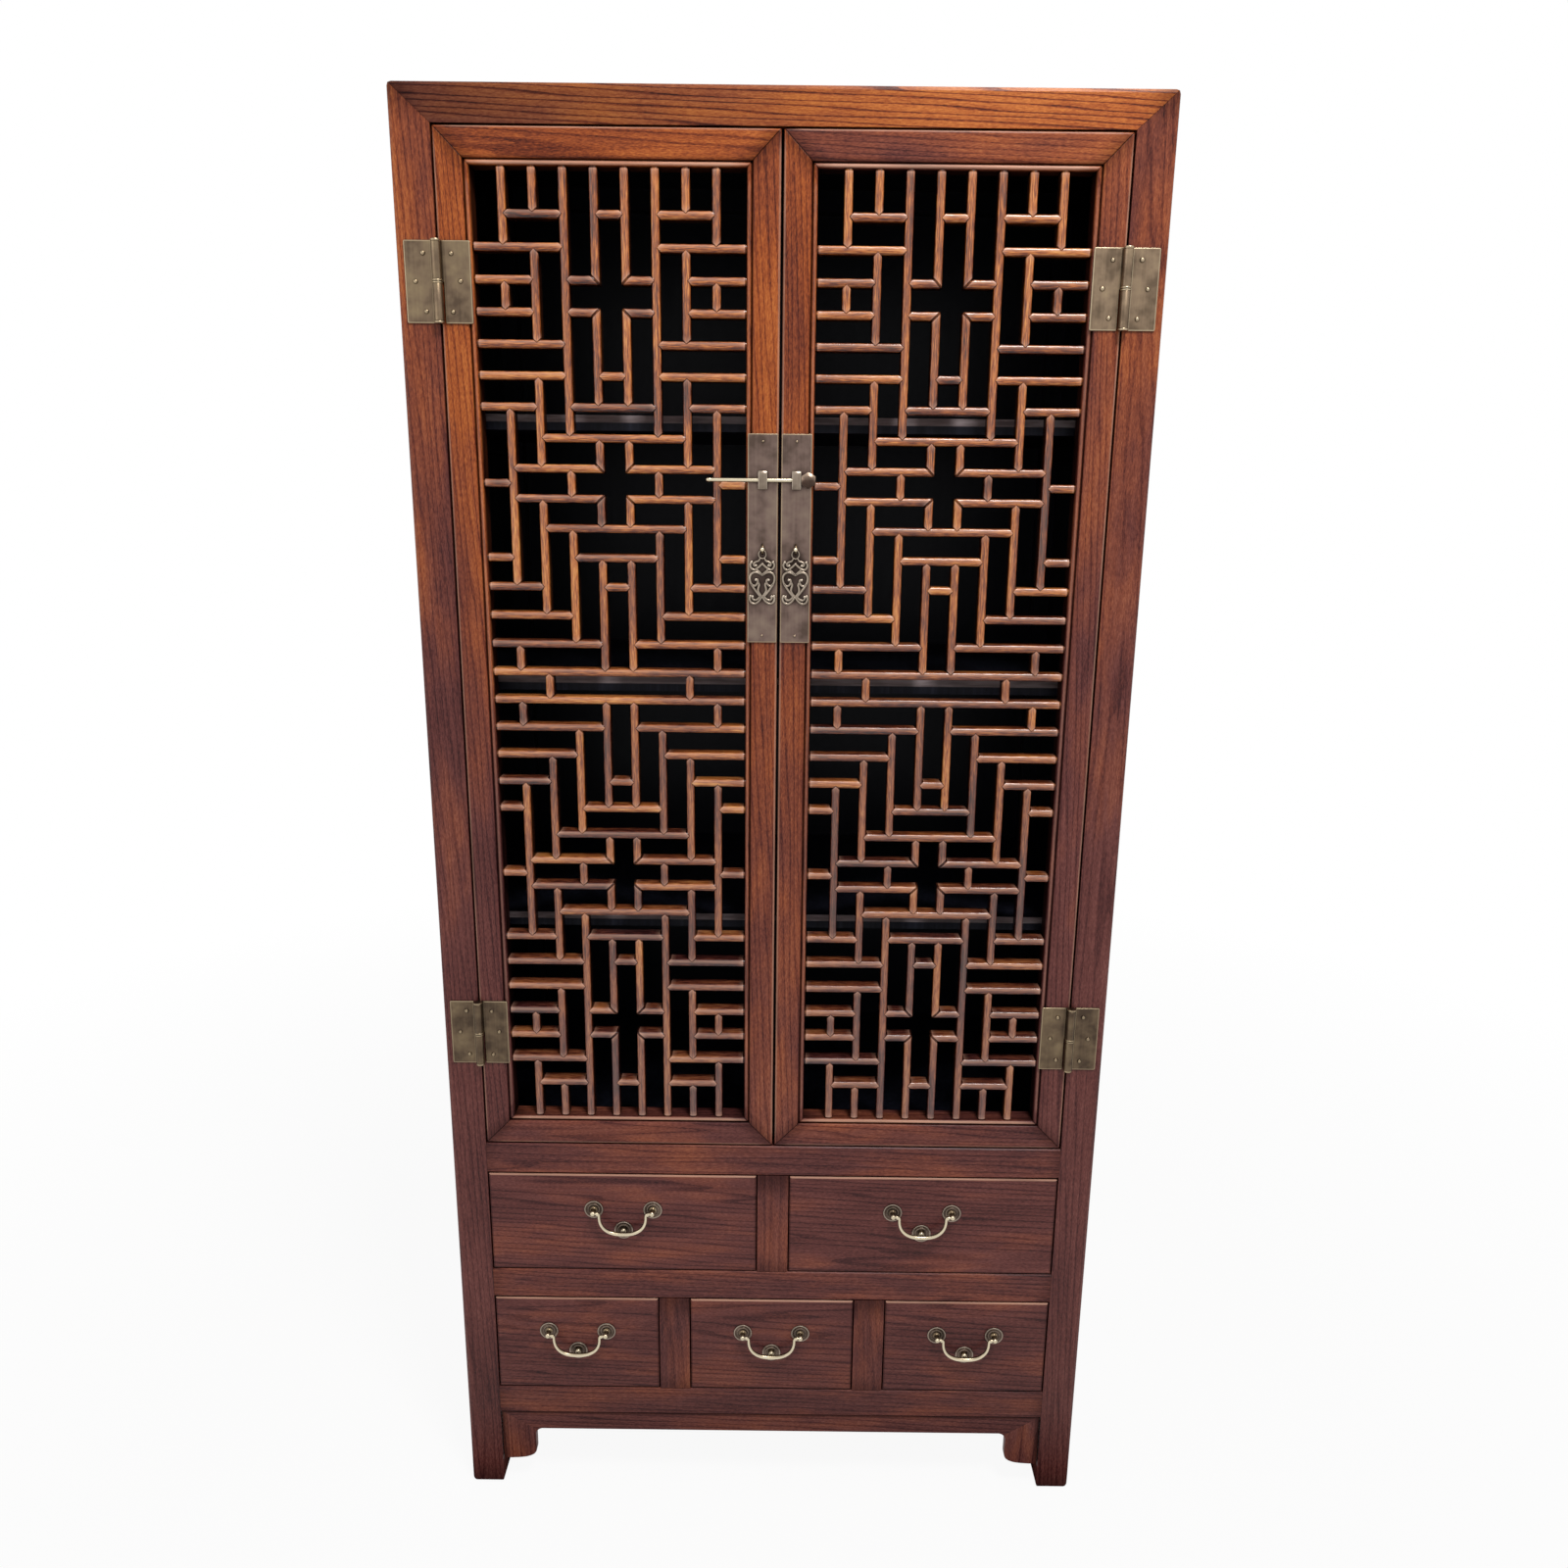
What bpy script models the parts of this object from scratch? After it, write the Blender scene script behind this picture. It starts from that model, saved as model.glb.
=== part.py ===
"""Two-door cabinet with lattice doors over five drawers, in stained elm with brass hardware.

Metres, +Z up, the front faces -Y, and the origin lies on the floor under the middle of the whole
object. Depths are measured back from the carcase's front face. Pieces that touch keep the named
seat clearance.
"""
import math

import bmesh
import bpy
from mathutils import Matrix, Vector

# Overall size of the carcase
WIDTH = 0.870
DEPTH = 0.450
HEIGHT = 1.844

# Clearances
SEAT = 0.0003
DOOR_GAP = 0.002
MEETING_GAP = 0.003
DRAWER_GAP = 0.0015

# Posts, rails and panels
POST = 0.046
EDGE_ROUND = 0.005
FOOT_ROUND = 0.008
TOP_RAIL_HEIGHT = 0.042
SILL_RAIL_HEIGHT = 0.044
MIDDLE_RAIL_HEIGHT = 0.044
BOTTOM_RAIL_HEIGHT = 0.043
RAIL_DEPTH = 0.030
RAIL_EASE = 0.0015
TENON_LENGTH = 0.020
TENON_THICKNESS = 0.010
TENON_SHOULDER = 0.008
PANEL_THICKNESS = 0.012
PANEL_INSET = 0.010
TOP_PANEL_DROP = 0.002
TONGUE_LENGTH = 0.006
TONGUE_THICKNESS = 0.005

# Openings of the front, from the floor up
APRON_CLEARANCE = 0.092
APRON_HEIGHT = 0.030
SMALL_OPENING_HEIGHT = 0.149
LARGE_OPENING_HEIGHT = 0.1505
DIVIDER_WIDTH = 0.042

# Apron
APRON_THICKNESS = 0.012
APRON_SETBACK = 0.002
SPANDREL_WIDTH = 0.048
SPANDREL_DROP = 0.051
SPANDREL_FILLET = 0.011
SPANDREL_ROUND = 0.015
SPANDREL_SWEEP = 0.034
SPANDREL_FULLNESS = 2.5
APRON_END_GAP = 0.0009

# Inside
SHELF_THICKNESS = 0.018
SHELF_PITCH = 0.3155
BATTEN_HEIGHT = 0.020
BATTEN_WIDTH = 0.014
RUNNER_WIDTH = 0.018
RUNNER_THICKNESS = 0.014
GUIDE_HEIGHT = 0.035

# Doors
DOOR_THICKNESS = 0.028
STILE_WIDTH = 0.038
DOOR_RAIL_HEIGHT = 0.039
DOOR_EASE = 0.003
DOOR_EASE_TURN = 0.3
MOULD_SLOPE = 0.0036
MOULD_DROP = 0.0024
QUIRK_WIDTH = 0.0014
QUIRK_DEPTH = 0.0044
BEAD_WIDTH = 0.0050
BEAD_DROP = 0.0015
BEAD_FLAT = 0.0018

# Lattice, laid out on a square grid of lines
LATTICE_COLUMNS = 9
LATTICE_ROWS = 33
LATTICE_MARGIN = 0.43
BAR_WIDTH = 0.0095
BAR_DEPTH = 0.018
BAR_CROWN = 0.0030
BAR_FLAT = 0.0037
LATTICE_SETBACK = 0.003

# Hinges
HINGE_HEIGHT = 0.088
HINGE_INSET = 0.162
LEAF_WIDTH = 0.0375
LEAF_THICKNESS = 0.0016
BARREL_RADIUS = 0.0055
BARREL_CLEARANCE = 0.0006
HINGE_PIN_RADIUS = 0.0030
HINGE_PIN_PLAY = 0.0002

# Lock plates, sliding pin and drop pulls
PLATE_WIDTH = 0.0355
PLATE_HEIGHT = 0.243
PLATE_THICKNESS = 0.0016
PLATE_MARGIN = 0.0005
PLATE_CENTRE_HEIGHT = 1.356
LUG_WIDTH = 0.0105
LUG_HEIGHT = 0.021
LUG_DEPTH = 0.0095
PIN_RADIUS = 0.0025
PIN_HEIGHT = 1.425
PIN_TAIL = 0.0665
KNOB_RADIUS = 0.0095
KNOB_DEPTH = 0.012
PULL_EYE_HEIGHT = 1.3455
PULL_EYE_RADIUS = 0.0052
PULL_EYE_WIRE = 0.0015
PULL_THICKNESS = 0.0020
PULL_RING_HOLE = 0.0033
PULL_RING_BAND = 0.0018
RING_FOOT_ANGLE = -50
PULL_STANDOFF = 0.00075
PULL_SAG = 0.0011

# Drawers and bail handles
DRAWER_FRONT_THICKNESS = 0.020
DRAWER_EASE = 0.002
TRAY_BACK_GAP = 0.0037
TRAY_WALL = 0.010
TRAY_FLOOR = 0.008
TRAY_HEIGHT = 0.120
BAIL_BORING = 0.081
BAIL_BELOW_TOP = 0.053
BAIL_STANDOFF = 0.011
BAIL_DROP = 0.0315
BAIL_RADIUS = 0.0030
BAIL_END_RADIUS = 0.0014
BAIL_BEND = 0.003
BAIL_SQUARENESS = 2.5
SOCKET_RADIUS = 0.0018
SOCKET_DEPTH = 0.003
BALL_RADIUS = 0.0038
BALL_TURNS = (0, 55, 125)
NECK_RADIUS = 0.0024
ROSETTE_RADIUS = 0.013
ROSETTE_THICKNESS = 0.0022
ROSETTE_EDGE = 0.0013
STRIKE_DROP = 0.0315
STRIKE_HEIGHT = 0.0072
STRIKE_RADIUS = 0.004
STRIKE_SHOULDER = 0.0052

# Facets of round pieces
BARREL_SIDES = 12
BORE_SIDES = 8
TURNED_SIDES = 10
RING_SIDES = 12
HEXAGON = 6
BAIL_STEPS = 5
BEND_STEPS = 3
EYE_STEPS = 6
RING_STEPS = 4
SPANDREL_STEPS = 5
OUTLINE_STEPS = 2
TUBE_ROUNDING = 1
WELD = 0.000001

# What stands in front of the carcase, and so where its front face lies
BARREL_REACH = SEAT + 2 * BARREL_RADIUS
BAIL_REACH = BAIL_STANDOFF + max(BALL_RADIUS, BAIL_RADIUS)
KNOB_REACH = SEAT + PLATE_THICKNESS + SEAT + KNOB_DEPTH
EYE_REACH = SEAT + PLATE_THICKNESS + PULL_EYE_RADIUS + PULL_EYE_WIRE
LUG_REACH = SEAT + PLATE_THICKNESS + LUG_DEPTH
FRONT_REACH = max(BARREL_REACH, BAIL_REACH, KNOB_REACH, EYE_REACH, LUG_REACH)
FRONT = (FRONT_REACH - DEPTH) / 2
BACK = FRONT + DEPTH

# Levels of the front, worked up from the floor
BOTTOM_RAIL_Z = APRON_CLEARANCE + APRON_HEIGHT
SMALL_OPENING_Z = BOTTOM_RAIL_Z + BOTTOM_RAIL_HEIGHT
MIDDLE_RAIL_Z = SMALL_OPENING_Z + SMALL_OPENING_HEIGHT
LARGE_OPENING_Z = MIDDLE_RAIL_Z + MIDDLE_RAIL_HEIGHT
SILL_RAIL_Z = LARGE_OPENING_Z + LARGE_OPENING_HEIGHT
DOOR_OPENING_Z = SILL_RAIL_Z + SILL_RAIL_HEIGHT
TOP_RAIL_Z = HEIGHT - TOP_RAIL_HEIGHT

# Main planes
INNER = WIDTH / 2 - POST
PANEL_INNER = WIDTH / 2 - PANEL_INSET - PANEL_THICKNESS
BACK_INNER = BACK - PANEL_INSET - PANEL_THICKNESS
BEHIND_POST = FRONT + POST + SEAT
BEFORE_BACK_POST = BACK - POST - SEAT
DOOR_OUTER = INNER - DOOR_GAP
DOOR_MEETING = MEETING_GAP / 2
DOOR_BOTTOM = DOOR_OPENING_Z + DOOR_GAP
DOOR_TOP = TOP_RAIL_Z - DOOR_GAP
PLATE_FRONT = FRONT - SEAT - PLATE_THICKNESS
PLATE_X = DOOR_MEETING + PLATE_MARGIN + PLATE_WIDTH / 2
PIN_Y = PLATE_FRONT - LUG_DEPTH / 2
HINGE_X = INNER - DOOR_GAP / 2
HINGE_Y = FRONT - SEAT - BARREL_RADIUS

# Lattice of one quarter of a door: lines run in columns 0 to 9 and rows 0 to 33, and EDGE is the
# rail. The rest of a door mirrors this quarter left to right and top to bottom.
EDGE = -LATTICE_MARGIN
UPRIGHTS = [
    (1, EDGE, 2), (2, EDGE, 1), (3, EDGE, 8), (4, EDGE, 3), (2, 2, 5), (1, 3, 4), (4, 4, 7),
    (2, 6, 9), (1, 7, 13), (4, 8, 9), (3, 9, 10), (4, 10, 11), (2, 10, 14), (3, 11, 15),
    (4, 12, 16), (1, 15, 16), (2, 16, 17),
]
CROSSBARS = [
    (1, 1, 3), (1, 4, 5), (2, 0, 3), (3, 0, 2), (3, 3, 4), (4, 0, 2), (4, 3, 4), (5, 0, 3),
    (6, 0, 3), (6, 4, 5), (7, 0, 2), (7, 3, 6), (8, 2, 7), (9, 1, 4), (9.5, 0, 1), (10, 1, 4),
    (11, 2, 7), (12, 0, 1), (12, 3, 6), (13, 0, 2), (13, 4, 5), (14, 0, 3), (15, 0, 4), (16, 0, 9),
]

# Openwork of a drop pull, in millimetres from the centre of its ring: the right half of the
# outline below the ring, and its holes as smooth or pointed loops.
PULL_OUTLINE = [
    (3.0, -6.2), (8.0, -6.8), (12.6, -6.2), (15.0, -9.6), (14.2, -14.0), (12.0, -17.4),
    (11.8, -20.2), (14.4, -23.0), (15.3, -28.0), (14.0, -34.0), (10.0, -41.0), (5.2, -47.6),
    (8.6, -51.0), (11.4, -51.6), (12.6, -48.6), (15.0, -49.4), (15.2, -55.0), (11.6, -59.4),
    (6.6, -60.0), (2.6, -57.4),
]
PULL_DIAMOND = [(0.0, -9.2), (3.4, -14.6), (0.0, -20.2), (-3.4, -14.6)]
PULL_VASE = [
    (0.0, -24.6), (2.0, -27.4), (1.7, -32.4), (3.3, -39.0), (0.0, -46.0),
    (-3.3, -39.0), (-1.7, -32.4), (-2.0, -27.4),
]
PULL_SIDE_HOLE = [(9.4, -9.8), (12.0, -12.6), (9.2, -15.8), (6.6, -12.8)]
PULL_VOLUTE_HOLE = [(8.6, -22.6), (12.4, -27.6), (9.6, -34.4), (5.2, -31.0), (4.8, -25.6)]
MILLIMETRE = 0.001


def clear_scene():
    """Removes whatever the new file holds."""
    for item in list(bpy.data.objects):
        bpy.data.objects.remove(item, do_unlink=True)


def new_collection(name):
    """Adds a collection to the scene."""
    collection = bpy.data.collections.new(name)
    bpy.context.scene.collection.children.link(collection)
    return collection


def new_material(name, colour, roughness, metallic=0.0):
    """A Principled material."""
    material = bpy.data.materials.new(name)
    material.use_nodes = True
    shader = material.node_tree.nodes["Principled BSDF"]
    shader.inputs["Base Color"].default_value = (*colour, 1.0)
    shader.inputs["Roughness"].default_value = roughness
    shader.inputs["Metallic"].default_value = metallic
    return material


clear_scene()
PARTS = new_collection("lattice_cabinet")
CUTTERS = new_collection("cutters")
ELM = new_material("stained_elm", (0.16, 0.055, 0.028), 0.38)
LACQUER = new_material("dark_lacquer", (0.018, 0.014, 0.013), 0.45)
TRAY_WOOD = new_material("drawer_wood", (0.30, 0.19, 0.10), 0.6)
BRASS = new_material("aged_brass", (0.33, 0.26, 0.15), 0.38, 1.0)
BRONZE = new_material("dark_bronze", (0.10, 0.065, 0.045), 0.42, 1.0)


def place(mesh, name, origin, material):
    """Makes a part from a mesh whose points are given from its origin."""
    part = bpy.data.objects.new(name, mesh)
    part.location = origin
    part.data.materials.append(material)
    PARTS.objects.link(part)
    return part


def as_cutter(tool):
    """Keeps an operand of a Boolean out of the model."""
    for collection in list(tool.users_collection):
        collection.objects.unlink(tool)
    CUTTERS.objects.link(tool)
    tool.hide_render = True
    tool.display_type = "WIRE"
    return tool


def boolean(part, tool, operation):
    """Adds an exact Boolean."""
    modifier = part.modifiers.new(operation.lower(), "BOOLEAN")
    modifier.operation = operation
    modifier.solver = "EXACT"
    modifier.object = as_cutter(tool)


def finish(bm, name, origin, material):
    """Turns a bmesh in world coordinates into a part with its own origin."""
    bmesh.ops.translate(bm, vec=-Vector(origin), verts=bm.verts)
    bmesh.ops.recalc_face_normals(bm, faces=bm.faces)
    mesh = bpy.data.meshes.new(name)
    bm.to_mesh(mesh)
    bm.free()
    return place(mesh, name, origin, material)


def box_bmesh(low, high):
    """A box between two corners."""
    low = Vector(low)
    high = Vector(high)
    bm = bmesh.new()
    bmesh.ops.create_cube(bm, size=1.0)
    bmesh.ops.scale(bm, vec=high - low, verts=bm.verts)
    bmesh.ops.translate(bm, vec=(low + high) / 2, verts=bm.verts)
    return bm


def box(name, low, high, material, origin=None):
    """A box part, with its origin at its centre unless one is given."""
    centre = (Vector(low) + Vector(high)) / 2
    return finish(box_bmesh(low, high), name, origin or centre, material)


def grown(low, high, amount):
    """The corners of a box grown on every side."""
    grow = Vector((amount, amount, amount))
    return Vector(low) - grow, Vector(high) + grow


def cut_box(part, low, high):
    """Cuts a box out of a part."""
    boolean(part, box(part.name + "_cut", low, high, ELM), "DIFFERENCE")


def join_box(part, low, high):
    """Joins a box to a part."""
    boolean(part, box(part.name + "_block", low, high, ELM), "UNION")


def edges_at(bm, low, high, sides):
    """The edges that lie on all of the given sides of a box, each side as (axis, -1 or 1)."""
    bounds = {-1: Vector(low), 1: Vector(high)}
    found = []
    for edge in bm.edges:
        ends = [vert.co for vert in edge.verts]
        if all(abs(end[axis] - bounds[sign][axis]) < SEAT / 10 for axis, sign in sides for end in ends):
            found.append(edge)
    return found


def round_edges(bm, edges, radius, segments):
    """Rounds edges of a bmesh."""
    bmesh.ops.bevel(
        bm, geom=edges, offset=radius, offset_type="OFFSET", segments=segments, profile=0.5,
        affect="EDGES", clamp_overlap=True,
    )


def draw_out(bm, face, axis, length):
    """Draws a face out along an axis, into a bar of that section."""
    drawn = bmesh.ops.extrude_face_region(bm, geom=[face])
    moved = [item for item in drawn["geom"] if isinstance(item, bmesh.types.BMVert)]
    run = Vector((0.0, 0.0, 0.0))
    run[axis] = length
    bmesh.ops.translate(bm, vec=run, verts=moved)


def round_corners(bm, low, high, *corners):
    """Rounds the three edges of a box that meet at each given corner, each corner as its three sides."""
    edges = set()
    for sides in corners:
        for left_out in sides:
            edges.update(edges_at(bm, low, high, [side for side in sides if side != left_out]))
    round_edges(bm, list(edges), EDGE_ROUND, 2)


def trim(bm, point, normal):
    """Cuts off what lies on the normal's side of a plane, half a seat behind the point."""
    normal = Vector(normal).normalized()
    geometry = bm.verts[:] + bm.edges[:] + bm.faces[:]
    bmesh.ops.bisect_plane(
        bm, geom=geometry, dist=SEAT / 100, plane_co=Vector(point) - normal * SEAT / 2,
        plane_no=normal, clear_outer=True,
    )
    bmesh.ops.holes_fill(bm, edges=[edge for edge in bm.edges if edge.is_boundary], sides=0)
    bmesh.ops.remove_doubles(bm, verts=bm.verts, dist=SEAT / 6)


def cylinder_bmesh(radius, start, end, sides):
    """A cylinder between two points on one line along an axis."""
    start = Vector(start)
    end = Vector(end)
    turn = Vector((0, 0, 1)).rotation_difference(end - start).to_matrix().to_4x4()
    bm = bmesh.new()
    bmesh.ops.create_cone(
        bm, cap_ends=True, segments=sides, radius1=radius, radius2=radius, depth=(end - start).length,
        matrix=Matrix.Translation((start + end) / 2) @ turn,
    )
    return bm


def cylinder(name, radius, start, end, sides, material):
    """A cylinder part with its origin half way along it."""
    centre = (Vector(start) + Vector(end)) / 2
    return finish(cylinder_bmesh(radius, start, end, sides), name, centre, material)


def join_cylinder(part, radius, start, end, sides):
    """Joins a cylinder to a part."""
    boolean(part, cylinder(part.name + "_rod", radius, start, end, sides, BRASS), "UNION")


def cut_cylinder(part, radius, start, end, sides):
    """Bores a cylinder out of a part."""
    boolean(part, cylinder(part.name + "_bore", radius, start, end, sides, BRASS), "DIFFERENCE")


def turned(name, profile, origin, sides, material):
    """A piece turned about the line that leaves the front: profile points are (radius, reach)."""
    mesh = bpy.data.meshes.new(name)
    points = [(radius, 0.0, reach) for radius, reach in profile]
    mesh.from_pydata(points, [(i, i + 1) for i in range(len(points) - 1)], [])
    part = place(mesh, name, origin, material)
    part.rotation_euler = (math.pi / 2, 0.0, 0.0)
    screw = part.modifiers.new("turning", "SCREW")
    screw.steps = sides
    screw.render_steps = sides
    screw.use_merge_vertices = True
    screw.merge_threshold = WELD
    return part


def mesh_of(curve_object):
    """Makes a curve object a mesh object with welded caps, in place."""
    bpy.context.view_layer.update()
    evaluated = curve_object.evaluated_get(bpy.context.evaluated_depsgraph_get())
    mesh = bpy.data.meshes.new_from_object(evaluated)
    bm = bmesh.new()
    bm.from_mesh(mesh)
    bmesh.ops.remove_doubles(bm, verts=bm.verts, dist=WELD)
    bmesh.ops.recalc_face_normals(bm, faces=bm.faces)
    bm.to_mesh(mesh)
    bm.free()
    name = curve_object.name
    matrix = curve_object.matrix_world.copy()
    material = curve_object.data.materials[0]
    bpy.data.objects.remove(curve_object, do_unlink=True)
    part = bpy.data.objects.new(name, mesh)
    part.matrix_world = matrix
    if not mesh.materials:
        mesh.materials.append(material)
    PARTS.objects.link(part)
    return part


def tube(name, points, radii, origin, material):
    """A round tube through points given from its origin, with a radius at each point."""
    curve = bpy.data.curves.new(name, "CURVE")
    curve.dimensions = "3D"
    curve.bevel_depth = max(radii)
    curve.bevel_resolution = TUBE_ROUNDING
    curve.use_fill_caps = True
    spline = curve.splines.new("POLY")
    spline.points.add(len(points) - 1)
    for target, point, radius in zip(spline.points, points, radii):
        target.co = (*point, 1.0)
        target.radius = radius / max(radii)
    return place(curve, name, origin, material)


def add_loop(curve, points, smooth):
    """Adds a closed loop to a flat outline, rounded through its points or with straight sides."""
    spline = curve.splines.new("BEZIER")
    spline.bezier_points.add(len(points) - 1)
    spline.use_cyclic_u = True
    spline.resolution_u = OUTLINE_STEPS if smooth else 1
    for target, point in zip(spline.bezier_points, points):
        target.co = (*point, 0.0)
        target.handle_left_type = "AUTO" if smooth else "VECTOR"
        target.handle_right_type = "AUTO" if smooth else "VECTOR"


def flat_outline(name, loops, thickness, origin, material):
    """A flat upright piece from closed loops, each (points, smooth), facing the front."""
    curve = bpy.data.curves.new(name, "CURVE")
    curve.dimensions = "2D"
    curve.fill_mode = "BOTH"
    curve.extrude = thickness / 2
    for points, smooth in loops:
        add_loop(curve, points, smooth)
    part = place(curve, name, origin, material)
    part.rotation_euler = (math.pi / 2, 0.0, 0.0)
    return part


def arc(centre, radius, start, end, steps):
    """Points of an arc between two angles in degrees."""
    points = []
    for step in range(steps + 1):
        angle = math.radians(start + (end - start) * step / steps)
        points.append((centre[0] + radius * math.cos(angle), centre[1] + radius * math.sin(angle)))
    return points


def pivot(name, location, parent=None):
    """An empty on a joint's axis."""
    empty = bpy.data.objects.new(name, None)
    empty.location = location
    PARTS.objects.link(empty)
    if parent:
        carry(empty, parent)
    return empty


def carry(piece, parent):
    """Parents a piece without moving it: locations stay world locations."""
    piece.parent = parent
    piece.matrix_parent_inverse = Matrix.Translation(-parent.location)


def side_name(side):
    """The name of a side: -1 is left and 1 is right."""
    return "left" if side < 0 else "right"


def span(side, near, far):
    """The low and high X of a stretch given by its distances from the middle."""
    return sorted((side * near, side * far))


# Carcase frame: posts and the top frame meet in three-way mitres

def post_tilt(inward_x, inward_y):
    """Normals of the mitre planes of a top corner: post to front rail, post to side rail, rails."""
    return (
        Vector((TOP_RAIL_HEIGHT * inward_x, 0.0, POST)),
        Vector((0.0, TOP_RAIL_HEIGHT * inward_y, POST)),
        Vector((-inward_x, inward_y, 0.0)),
    )


def top_corner(side, back):
    """The outer corner of the top over a post."""
    return Vector((side * WIDTH / 2, BACK if back else FRONT, HEIGHT))


def make_post(side, back, frame):
    """A square post: rounded outer edge, eased foot, mitred head."""
    low_x, high_x = span(side, INNER, WIDTH / 2)
    low = (low_x, BACK - POST if back else FRONT, 0.0)
    high = (high_x, BACK if back else FRONT + POST, HEIGHT)
    outer_y = 1 if back else -1
    bm = box_bmesh(low, high)
    round_corners(bm, low, high, [(0, side), (1, outer_y), (2, 1)])
    foot = [edge for edge in bm.edges if all(vert.co.z < SEAT for vert in edge.verts)]
    round_edges(bm, foot, FOOT_ROUND, 2)
    to_front_rail, to_side_rail, _ = post_tilt(-side, -outer_y)
    corner = top_corner(side, back)
    trim(bm, corner, to_front_rail)
    trim(bm, corner, to_side_rail)
    centre = (Vector(low) + Vector(high)) / 2
    name = "post_" + ("back_" if back else "front_") + side_name(side)
    post = finish(bm, name, centre, ELM)
    carry(post, frame)
    return post


def long_top_rail(name, back):
    """The front or back rail of the top frame, mitred at both ends."""
    low = (-WIDTH / 2, BACK - POST if back else FRONT, TOP_RAIL_Z)
    high = (WIDTH / 2, BACK if back else FRONT + POST, HEIGHT)
    outer_y = 1 if back else -1
    bm = box_bmesh(low, high)
    round_corners(bm, low, high, [(0, -1), (1, outer_y), (2, 1)], [(0, 1), (1, outer_y), (2, 1)])
    for side in (-1, 1):
        to_front_rail, _, between = post_tilt(-side, -outer_y)
        corner = top_corner(side, back)
        trim(bm, corner, -to_front_rail)
        trim(bm, corner, between)
    return finish(bm, name, (Vector(low) + Vector(high)) / 2, ELM)


def side_top_rail(side):
    """A side rail of the top frame, mitred at both ends."""
    low_x, high_x = span(side, INNER, WIDTH / 2)
    low = (low_x, FRONT, TOP_RAIL_Z)
    high = (high_x, BACK, HEIGHT)
    bm = box_bmesh(low, high)
    round_corners(bm, low, high, [(0, side), (1, -1), (2, 1)], [(0, side), (1, 1), (2, 1)])
    for back in (False, True):
        _, to_side_rail, between = post_tilt(-side, -1 if back else 1)
        corner = top_corner(side, back)
        trim(bm, corner, -to_side_rail)
        trim(bm, corner, -between)
    return finish(bm, "top_rail_" + side_name(side), (Vector(low) + Vector(high)) / 2, ELM)


def tongue_box(low, high, thin_axis, reach):
    """The corners of a panel's tongue: thinner on one axis and longer on the other two."""
    low = Vector(low)
    high = Vector(high)
    middle = (low[thin_axis] + high[thin_axis]) / 2
    for axis in range(3):
        if axis == thin_axis:
            low[axis] = middle - TONGUE_THICKNESS / 2
            high[axis] = middle + TONGUE_THICKNESS / 2
        else:
            low[axis] -= reach
            high[axis] += reach
    return low, high


def make_top(frame):
    """The top panel, floating in the grooves of the top frame, and the frame's front and side rails."""
    high_z = HEIGHT - TOP_PANEL_DROP
    low = (-INNER + SEAT, BEHIND_POST, high_z - PANEL_THICKNESS)
    high = (INNER - SEAT, BEFORE_BACK_POST, high_z)
    tongue = tongue_box(low, high, 2, TONGUE_LENGTH)
    panel = box("top_panel", low, high, LACQUER)
    join_box(panel, *tongue)
    rails = [long_top_rail("top_rail_front", False), side_top_rail(-1), side_top_rail(1)]
    for rail in rails:
        cut_box(rail, *grown(*tongue, SEAT))
    for piece in [panel] + rails:
        carry(piece, frame)
    return tongue, rails


def make_side(side, posts, top_rail, frame):
    """A side panel with its lower rail, shelf battens and drawer runners; cuts the posts' grooves."""
    low_x, high_x = span(side, PANEL_INNER, PANEL_INNER + PANEL_THICKNESS)
    low = (low_x, BEHIND_POST, BOTTOM_RAIL_Z)
    high = (high_x, BEFORE_BACK_POST, TOP_RAIL_Z - SEAT)
    panel = box("side_panel_" + side_name(side), low, high, ELM)
    tongue_low, tongue_high = tongue_box(low, high, 0, TONGUE_LENGTH)
    tongue_low.z = BOTTOM_RAIL_Z + TONGUE_LENGTH
    join_box(panel, tongue_low, tongue_high)
    rail_x = span(side, INNER, WIDTH / 2)
    rail_low = (rail_x[0], BEHIND_POST, BOTTOM_RAIL_Z)
    rail_high = (rail_x[1], BEFORE_BACK_POST, SMALL_OPENING_Z - RUNNER_THICKNESS)
    join_box(panel, rail_low, rail_high)
    overlap = PANEL_INNER + PANEL_THICKNESS / 2
    for top in board_levels():
        batten_x = span(side, PANEL_INNER - BATTEN_WIDTH, overlap)
        batten_top = top - SHELF_THICKNESS - SEAT
        join_box(
            panel, (batten_x[0], BEHIND_POST, batten_top - BATTEN_HEIGHT),
            (batten_x[1], BEFORE_BACK_POST, batten_top),
        )
    for level in (SMALL_OPENING_Z, LARGE_OPENING_Z):
        runner_x = span(side, INNER - RUNNER_WIDTH, overlap)
        join_box(
            panel, (runner_x[0], BEHIND_POST, level - RUNNER_THICKNESS - SEAT),
            (runner_x[1], BEFORE_BACK_POST, level),
        )
        guide_x = span(side, INNER, overlap)
        join_box(
            panel, (guide_x[0], BEHIND_POST, level - SEAT),
            (guide_x[1], BEFORE_BACK_POST, level + GUIDE_HEIGHT),
        )
    groove = grown(tongue_low, tongue_high, SEAT)
    for piece in posts + [top_rail]:
        cut_box(piece, *groove)
    carry(panel, frame)


def board_levels():
    """The top faces of the compartment's floor and of the shelves over it."""
    return [DOOR_OPENING_Z + SHELF_PITCH * step for step in range(4)]


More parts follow.
